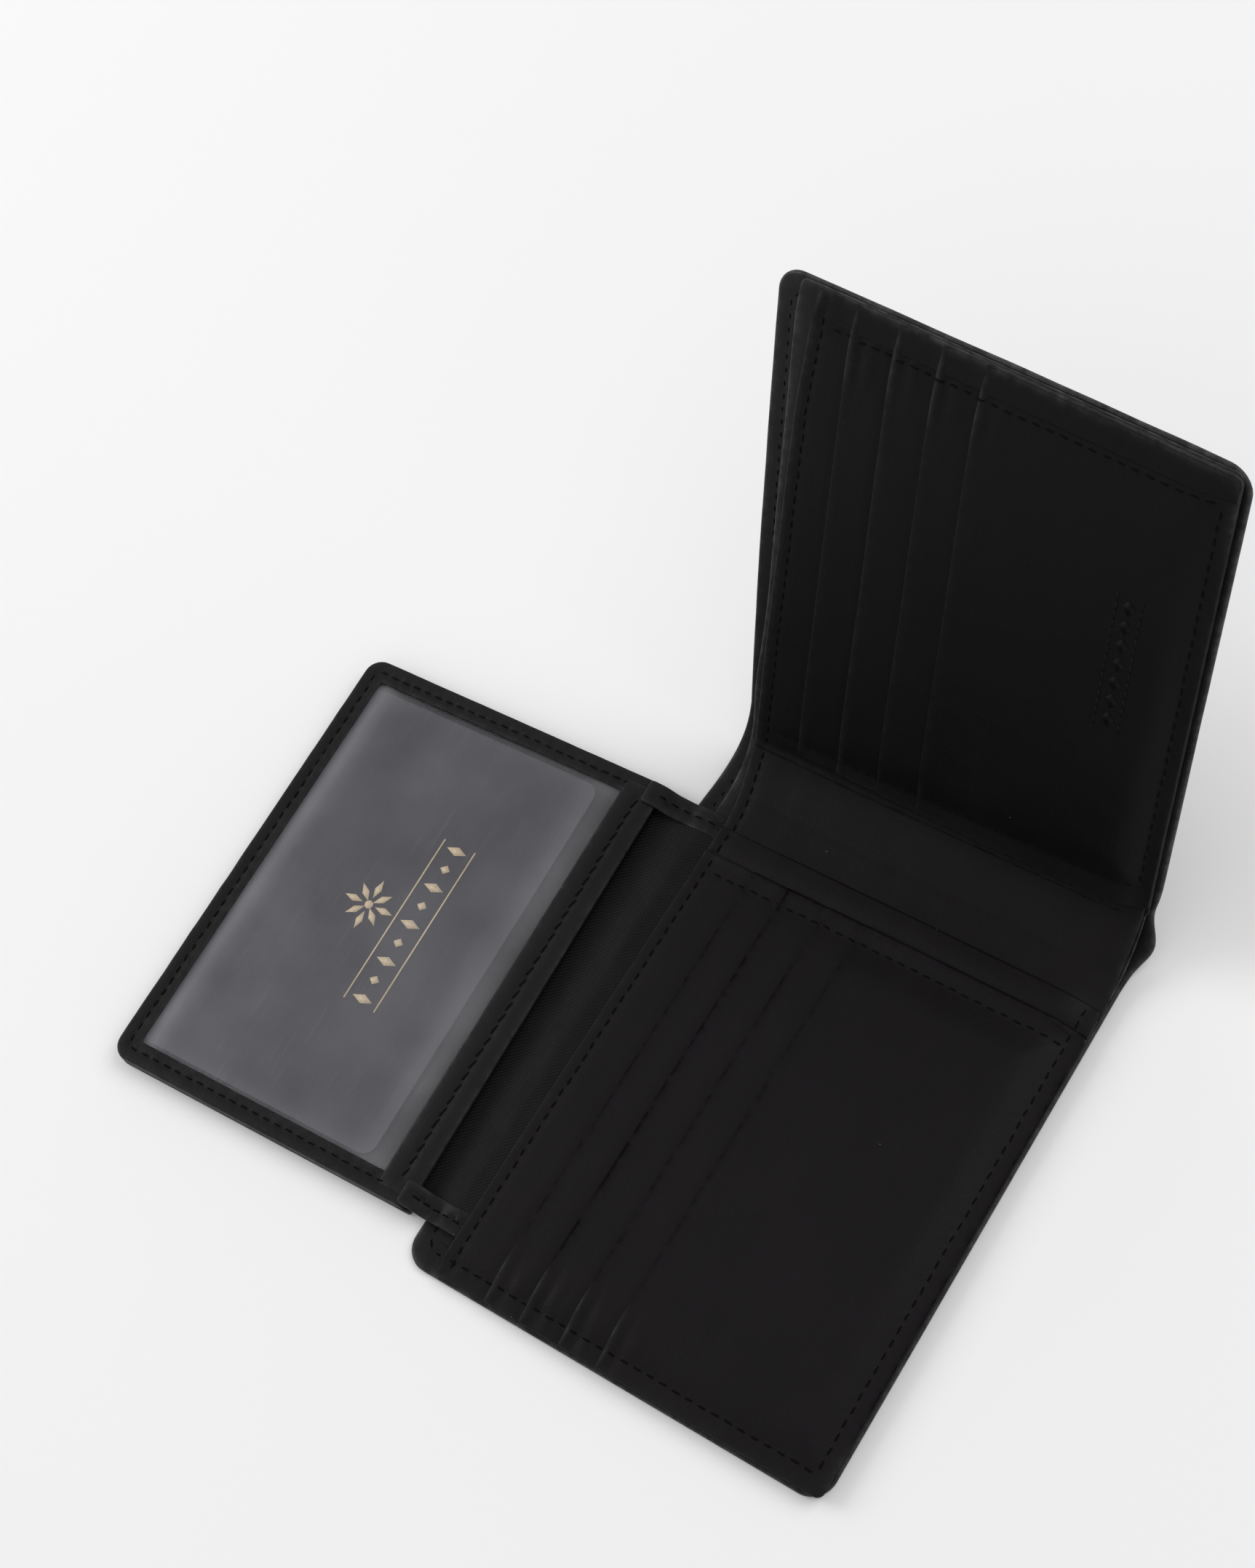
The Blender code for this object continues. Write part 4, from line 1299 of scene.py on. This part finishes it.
def hinge_cloth():
    """The twill strip between flap and panel, from under the flap's edge to the hem."""
    hem_x = 0.6
    section = [(-13.2, 1.40), (-12.4, 1.38), (-10.2, 1.28), (-8.2, 1.62), (-5.5, 2.6), (-3.4, 3.12),
               (-1.5, 3.1), (hem_x, 3.05)]
    place, length = hinge_place(section, hem_x)
    low, high = HINGE_FRONT + CLOTH_INSET, HINGE_BACK - CLOTH_INSET

    def wave(s, y):
        inside = hump(s - 0.58 * length, 0.30 * length)
        return inside * waves(s, y, (0.22, 5, 101, 2.5), (0.12, 2.4, 102, 1.5))
    piece, _, _ = leaf("hinge_cloth", place, (0, length), (low, high), (0.2, 0.2, 0.2, 0.2),
                       lambda s, y, d: 0.22 + wave(s, y), lambda s, y, d: wave(s, y), TWILL,
                       (0.6, 0.9))
    settle(piece, ["hinge_strip"], HINGE_BEND)


def hinge_tape(name, start, seed, creased):
    """Leather tape that binds one end of the hinge strip; creased is how crumpled it is."""
    hem_x = 0.3
    section = [(-15.6, 4.0), (-13.8, 4.02), (-12.0, 3.75), (-9.6, 2.7), (-7.0, 2.5), (-4.6, 2.95),
               (-2.4, 3.05), (hem_x, 2.95)]
    place, length = hinge_place(section, hem_x)
    row = seam("w", start + 0.5 * TAPE_WIDTH, 2.2, length - 1.0)

    def top(s, y, distance):
        crumple = creased * waves(s, y, (0.16, 2.6, seed, 1.8), (0.07, 1.2, seed + 1, 1.5))
        fade = hump(s - 0.55 * length, 0.42 * length)
        tucked_end = 0.26 * ramp(s - length + 1.0, 0.4)
        return 0.52 - tucked_end + fade * crumple + dents(s, y, [row], 0.25)
    piece, above, _ = leaf("hinge_tape_leather_" + name, place, (0, length),
                           (start, start + TAPE_WIDTH), (0.8, 0.4, 0.8, 0.4), top, -0.25,
                           FLAP_LEATHER, (0.4, 0.4))
    settle(piece, ["hinge_tape_" + name], HINGE_BEND)
    sew("hinge_tape_thread_" + name, above, [row_points(row)], HINGE_BEND, seed)


# ---- Stage ----
def camera():
    """The photograph's view: from the right of the free edge, rolled to the left."""
    azimuth, elevation, roll = radians(51.63), radians(60.57), radians(-21.75)
    distance = 0.53543
    target = layout_point(-23.27, -4.81, 0.0)
    back = Vector((sin(azimuth) * cos(elevation), -cos(azimuth) * cos(elevation), sin(elevation)))
    level = Vector((cos(azimuth), sin(azimuth), 0))
    upright = back.cross(level)
    right = level * cos(roll) + upright * sin(roll)
    up = upright * cos(roll) - level * sin(roll)
    data = bpy.data.cameras.new("camera")
    data.sensor_fit = "AUTO"
    data.sensor_width = 36.0
    data.lens = 61.55
    data.clip_start = 0.01
    eye = add_object("camera", data)
    turned = Matrix((right, up, back)).transposed().to_4x4()
    eye.matrix_world = Matrix.Translation(target + back * distance) @ turned
    bpy.context.scene.camera = eye


def light(name, place, size, power):
    """A square area light that points at the origin."""
    data = bpy.data.lights.new(name, "AREA")
    data.size = size
    data.energy = power
    lamp = add_object(name, data)
    lamp.location = place
    lamp.rotation_euler = (-Vector(place)).to_track_quat("-Z", "Y").to_euler()


def floor():
    half = 3.0
    corners = [(-half, -half, 0), (half, -half, 0), (half, half, 0), (-half, half, 0)]
    data = bpy.data.meshes.new("floor")
    data.from_pydata(corners, [], [(0, 1, 2, 3)])
    data.materials.append(floor_material())
    add_object("floor", data)


def studio():
    """Two broad soft lights and an even pale surround."""
    light("key", (-1.30, -0.20, 0.85), size=0.9, power=9.8)
    light("fill", (0.75, 0.95, 1.25), size=1.2, power=9.6)
    world = bpy.data.worlds.new("studio")
    bpy.context.scene.world = world
    world.use_nodes = True
    surround = world.node_tree.nodes["Background"]
    surround.inputs["Color"].default_value = (1, 1, 1, 1)
    surround.inputs["Strength"].default_value = 0.62
    bpy.context.scene.view_settings.view_transform = "Standard"


camera()
lower_panel()
spine_strip()
outer_leather()
lining()
divider()
spine_cover()
upper_panel()
flap_border()
flap_back()
flap_lining()
insert_card()
window_film()
mouth_strip()
hinge_cloth()
hinge_tape("front", HINGE_FRONT, seed=111, creased=1.6)
hinge_tape("back", HINGE_BACK - TAPE_WIDTH, seed=121, creased=0.9)
floor()
studio()
